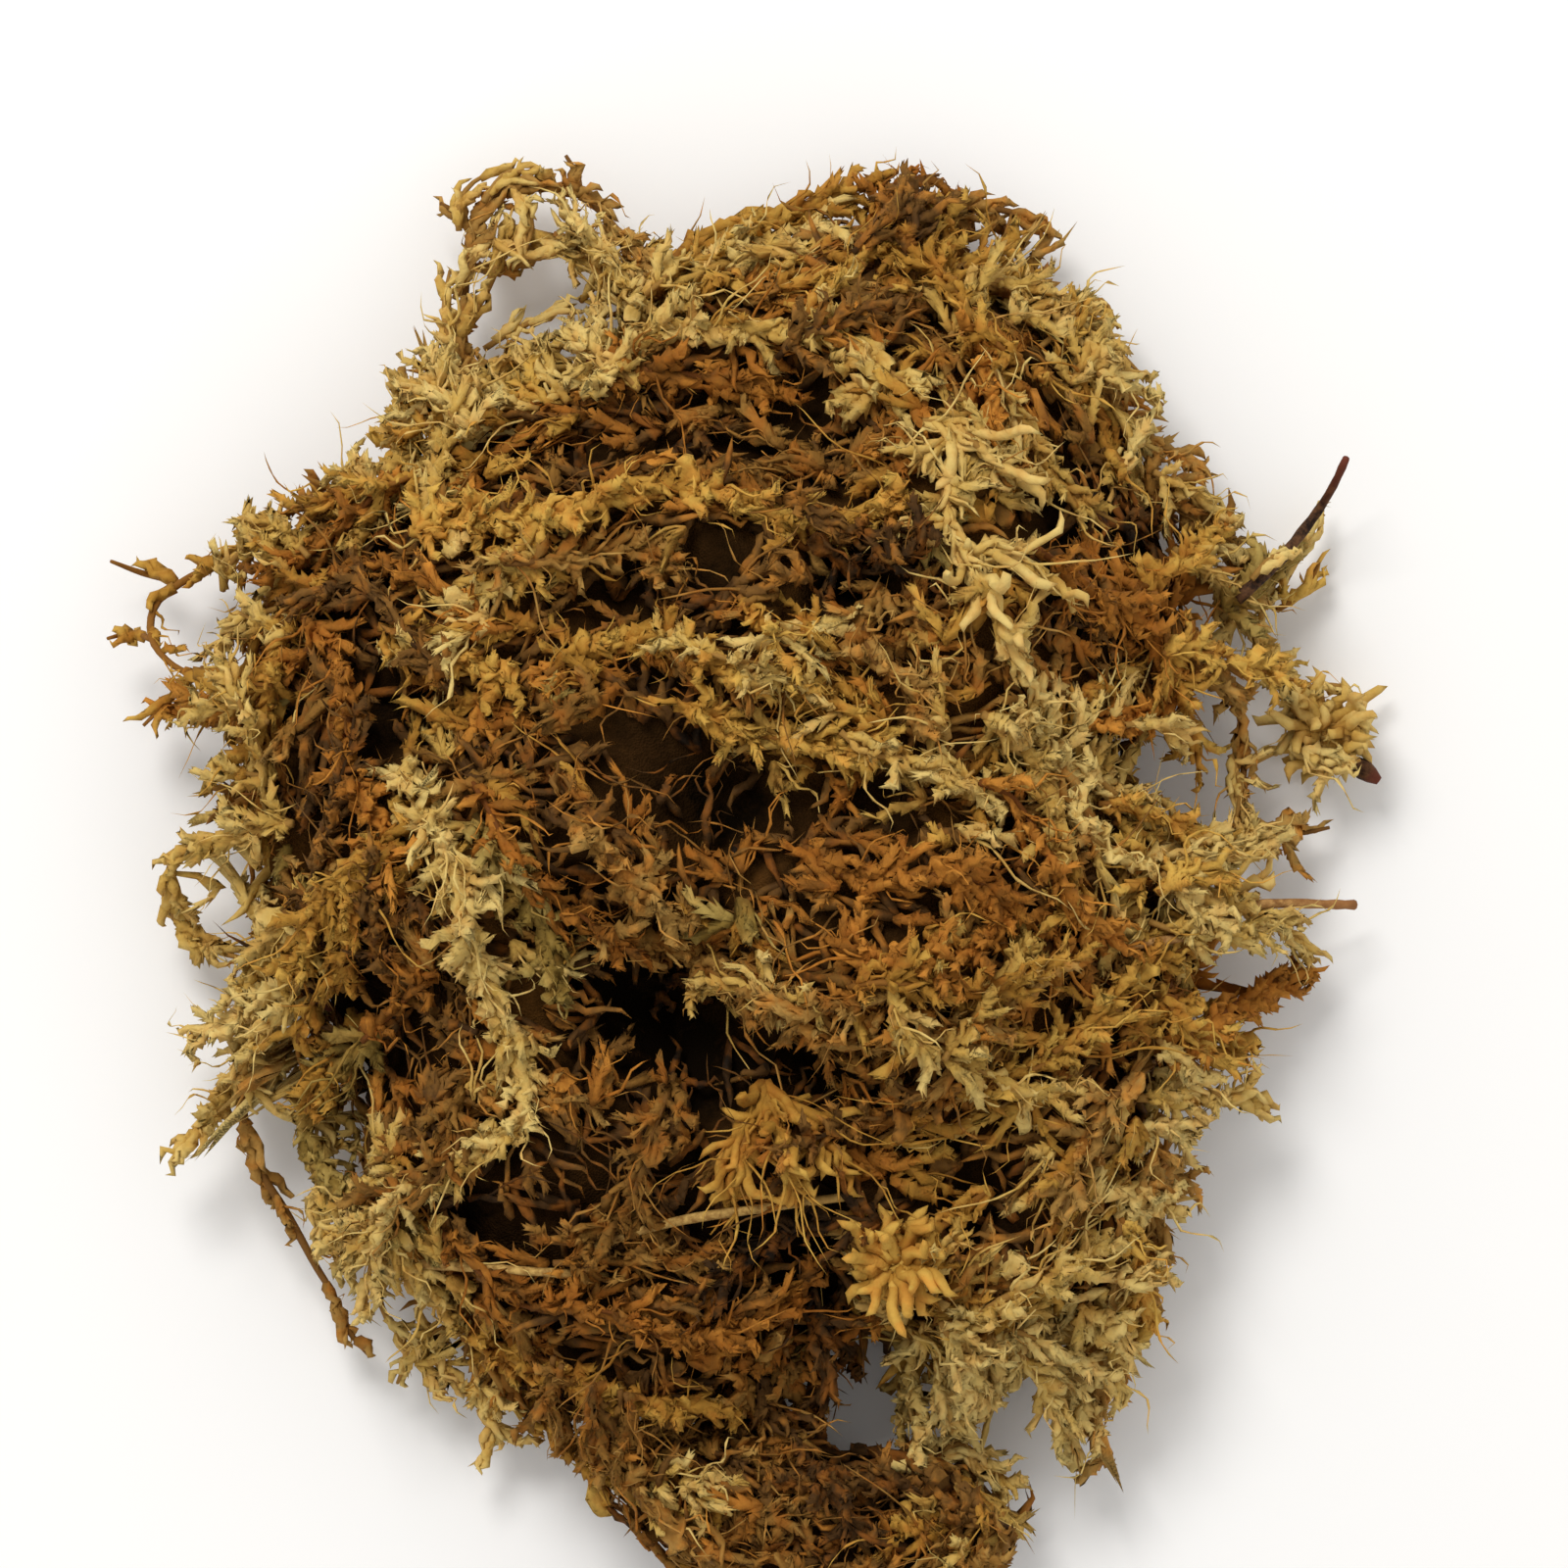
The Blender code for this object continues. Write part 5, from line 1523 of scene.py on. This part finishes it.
def litter_piece(litter, line, materials):
    """A bare stem, twig or root with knots and a rough skin."""
    fine = smooth_points(line, 0.8)
    count = len(fine)
    chance = random.Random(litter.name)
    radii = [
        float(np.interp(number / (count - 1), np.linspace(0, 1, len(litter.radii)), litter.radii))
        * chance.uniform(0.88, 1.12)
        for number in range(count)
    ]
    mesh = stem_mesh(line, radii, sides=8)
    vertices = np.empty(len(mesh.vertices) * 3)
    mesh.vertices.foreach_get("co", vertices)
    vertices = vertices.reshape(-1, 3)
    away = np.linalg.norm(vertices[:, None] - fine[None], axis=2).argmin(1)
    layer = mesh.attributes.new("along", "FLOAT", "POINT")
    layer.data.foreach_set("value", away / (count - 1))
    for vertex in mesh.vertices:
        vertex.co *= MM
    mesh.name = litter.name + "_fine"
    mesh.shade_smooth()
    piece = bpy.data.objects.new(litter.name + "_fine", mesh)
    bpy.context.scene.collection.objects.link(piece)
    mesh.materials.append(materials[litter.slot])
    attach(piece, "root")
    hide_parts(litter.name)
    return piece


# The clump

materials = all_materials()
bodies = [mat_body(), lobe_body()]
tangle, stems, bare = lay_all(bodies)

core_piece(bodies[0], "mat_core", MAT_MIDDLE, MAT_CORE_INWARD, materials)
core_piece(bodies[1], "lobe_core", LOBE_MIDDLE, LOBE_CORE_INWARD, materials)
for strand, lines in zip(STRANDS, stems):
    make(strand_spray(strand, lines, tangle), materials)
for litter, line in zip(LITTER, bare):
    litter_piece(litter, line, materials)

# How many bunches the lobe gets for each one of the mat, over it and under its rim
LOBE_SHARE = 0.13
LOBE_UNDER_SHARE = 0.15

# How far a face looks up where its place belongs to the top
TOP_FACING = 0.02
UNDER_LOWEST = 0.6

sprays = {
    (layer.name, colour): Spray(f"mat_{layer.name}_{colour}", f"moss_{colour}", ("matted_moss",))
    for layer in (*LAYERS, UNDER)
    for colour in MOSS_FINISHES
}
chance = random.Random(SEED)
for layer in LAYERS:
    for body, share in zip(bodies, (1.0, LOBE_SHARE)):
        count = round(layer.count * share)
        for spot, normal in surface_spots(body, count, chance, lambda face: face.normal.z > TOP_FACING):
            if not in_gap(spot):
                fascicle(sprays, spot, normal, chance, tangle, layer)
for body, share in zip(bodies, (1.0, LOBE_UNDER_SHARE)):
    count = round(UNDER.count * share)
    for spot, normal in surface_spots(body, count, chance, lambda face: face.normal.z <= TOP_FACING):
        if spot.z > UNDER_LOWEST:
            fascicle(sprays, spot, normal, chance, tangle, UNDER)


WANDER_STEP = 3.0
WANDER_FOLLOW = 0.35
WANDER_SWAY = 0.22


def wander(start, heading, length, chance, follow):
    """A route that sways a little and may follow the flow of the branches round it."""
    route = [start]
    x, y = start
    for _ in range(max(2, round(length / WANDER_STEP))):
        if follow:
            flow = flow_at(x, y)
            if math.cos(flow - heading) < 0:
                flow += math.pi
            off = (flow - heading + math.pi) % (2 * math.pi) - math.pi
            heading += WANDER_FOLLOW * off
        heading += chance.gauss(0, WANDER_SWAY)
        x += WANDER_STEP * math.cos(heading)
        y += WANDER_STEP * math.sin(heading)
        if in_gap((x, y), 0.3) or past_rim((x, y, 0)) > -1.0:
            break
        route.append((x, y))
    return route


def loose_strands(routes, chance, tangle, name, owner):
    """Extra strands over the mat or round its rim, by colour."""
    made = {}
    for route in routes:
        if len(route) < 3:
            continue
        line = lay(route, 0.5, owner, tangle)
        owner += 1
        tangle.add(line, np.full(len(line), 0.3), owner)
        middle = line[len(line) // 2]
        pale, rusty = zone_at(middle[0], middle[1])
        colour, tone = colour_of(middle, pale + 0.05, rusty, chance)
        spray = made.setdefault(colour, Spray(f"{name}_{colour}", f"moss_{colour}"))
        spray.stem(line, LOOSE_STEM, tone)
        grow(spray, line, chance, tangle, LOOSE_GROWTH, tone)
    return made


def wanders(count, start_at, length, follow):
    """Routes that start at random places."""
    return [wander(*start_at(), chance.uniform(*length), chance, follow) for _ in range(count)]


def over_mat():
    """A place on the mat, more often where it is pale, and any heading."""
    while True:
        x, y = chance.uniform(-50, 48), chance.uniform(-55, 70)
        if tangle.solid_top((x, y)) is not None and chance.random() < 0.3 + zone_at(x, y)[0]:
            return (x, y), chance.uniform(0, 2 * math.pi)


def at_rim():
    """A place just inside the mat's rim, and a heading away from its middle."""
    turn = chance.uniform(0, 2 * math.pi)
    reach = reach_at(turn, MAT_REACH) * 0.93
    place = (MAT_MIDDLE.x + reach * math.cos(turn), MAT_MIDDLE.y + reach * math.sin(turn))
    return place, turn + chance.gauss(0, 0.5)


# Loose strands over the mat, round its rim and in its wisps
extra = [
    loose_strands(wanders(42, over_mat, (12, 26), True), chance, tangle, "loose", 1000),
    loose_strands(wanders(90, at_rim, (8, 20), False), chance, tangle, "rim", 2000),
    loose_strands(WISPS, chance, tangle, "wisp", 3000),
]

for spray in [*sprays.values(), *(spray for made in extra for spray in made.values())]:
    if spray.branches:
        make(spray, materials)

# Floor, light and camera


FLOOR_COLOUR = (0.93, 0.93, 0.93)
FLOOR_SIZE = 3
WORLD_COLOUR = (1.0, 0.99, 0.97, 1)
WORLD_STRENGTH = 0.7
KEY_PLACE = (-0.35, 0.75, 1.1)
KEY_SIZE = 0.5
KEY_POWER = 11.0
KEY_COLOUR = (1.0, 0.98, 0.95)
KEY_AIM = Vector((0, 0, 0.02))


def floor_material():
    """A pale matt floor with a faint mottle."""
    made, tree, shader = shaded("pale_floor")
    place = node(tree, "ShaderNodeTexCoord").outputs["Object"]
    mottle = speckle(tree, place, 30.0, 3.0, 0.5)
    darker = tuple(0.985 * value for value in FLOOR_COLOUR)
    colour = blend_colour(tree, mottle, (*darker, 1), (*FLOOR_COLOUR, 1))
    tree.links.new(colour, shader.inputs["Base Color"])
    shader.inputs["Roughness"].default_value = 0.9
    return made


floor_mesh = bpy.data.meshes.new("floor")
work = bmesh.new()
bmesh.ops.create_grid(work, x_segments=1, y_segments=1, size=FLOOR_SIZE)
work.to_mesh(floor_mesh)
work.free()
floor = bpy.data.objects.new("floor", floor_mesh)
bpy.context.scene.collection.objects.link(floor)
floor_mesh.materials.append(floor_material())

world = bpy.data.worlds.new("soft_studio")
bpy.context.scene.world = world
world.use_nodes = True
backdrop = world.node_tree.nodes["Background"]
backdrop.inputs["Color"].default_value = WORLD_COLOUR
backdrop.inputs["Strength"].default_value = WORLD_STRENGTH

key = bpy.data.lights.new("key_softbox", "AREA")
key.size = KEY_SIZE
key.energy = KEY_POWER
key.color = KEY_COLOUR
lamp = bpy.data.objects.new("key_softbox", key)
bpy.context.scene.collection.objects.link(lamp)
lamp.location = KEY_PLACE
lamp.rotation_euler = (KEY_AIM - Vector(KEY_PLACE)).to_track_quat("-Z", "Y").to_euler()

# The camera looks straight down and takes in the view's width at the clump's middle height
VIEW_MIDDLE = Vector((0.004, 0.010, 0.0))
VIEW_HEIGHT = 1.0
VIEW_WIDTH = 0.160
MIDDLE_HEIGHT = 0.020
SENSOR_WIDTH = 36
camera_data = bpy.data.cameras.new("camera")
camera_data.sensor_width = SENSOR_WIDTH
camera_data.lens = SENSOR_WIDTH * (VIEW_HEIGHT - MIDDLE_HEIGHT) / VIEW_WIDTH
camera = bpy.data.objects.new("camera", camera_data)
camera.location = (VIEW_MIDDLE.x, VIEW_MIDDLE.y, VIEW_HEIGHT)
bpy.context.scene.collection.objects.link(camera)
bpy.context.scene.camera = camera
bpy.context.scene.view_settings.view_transform = "Standard"
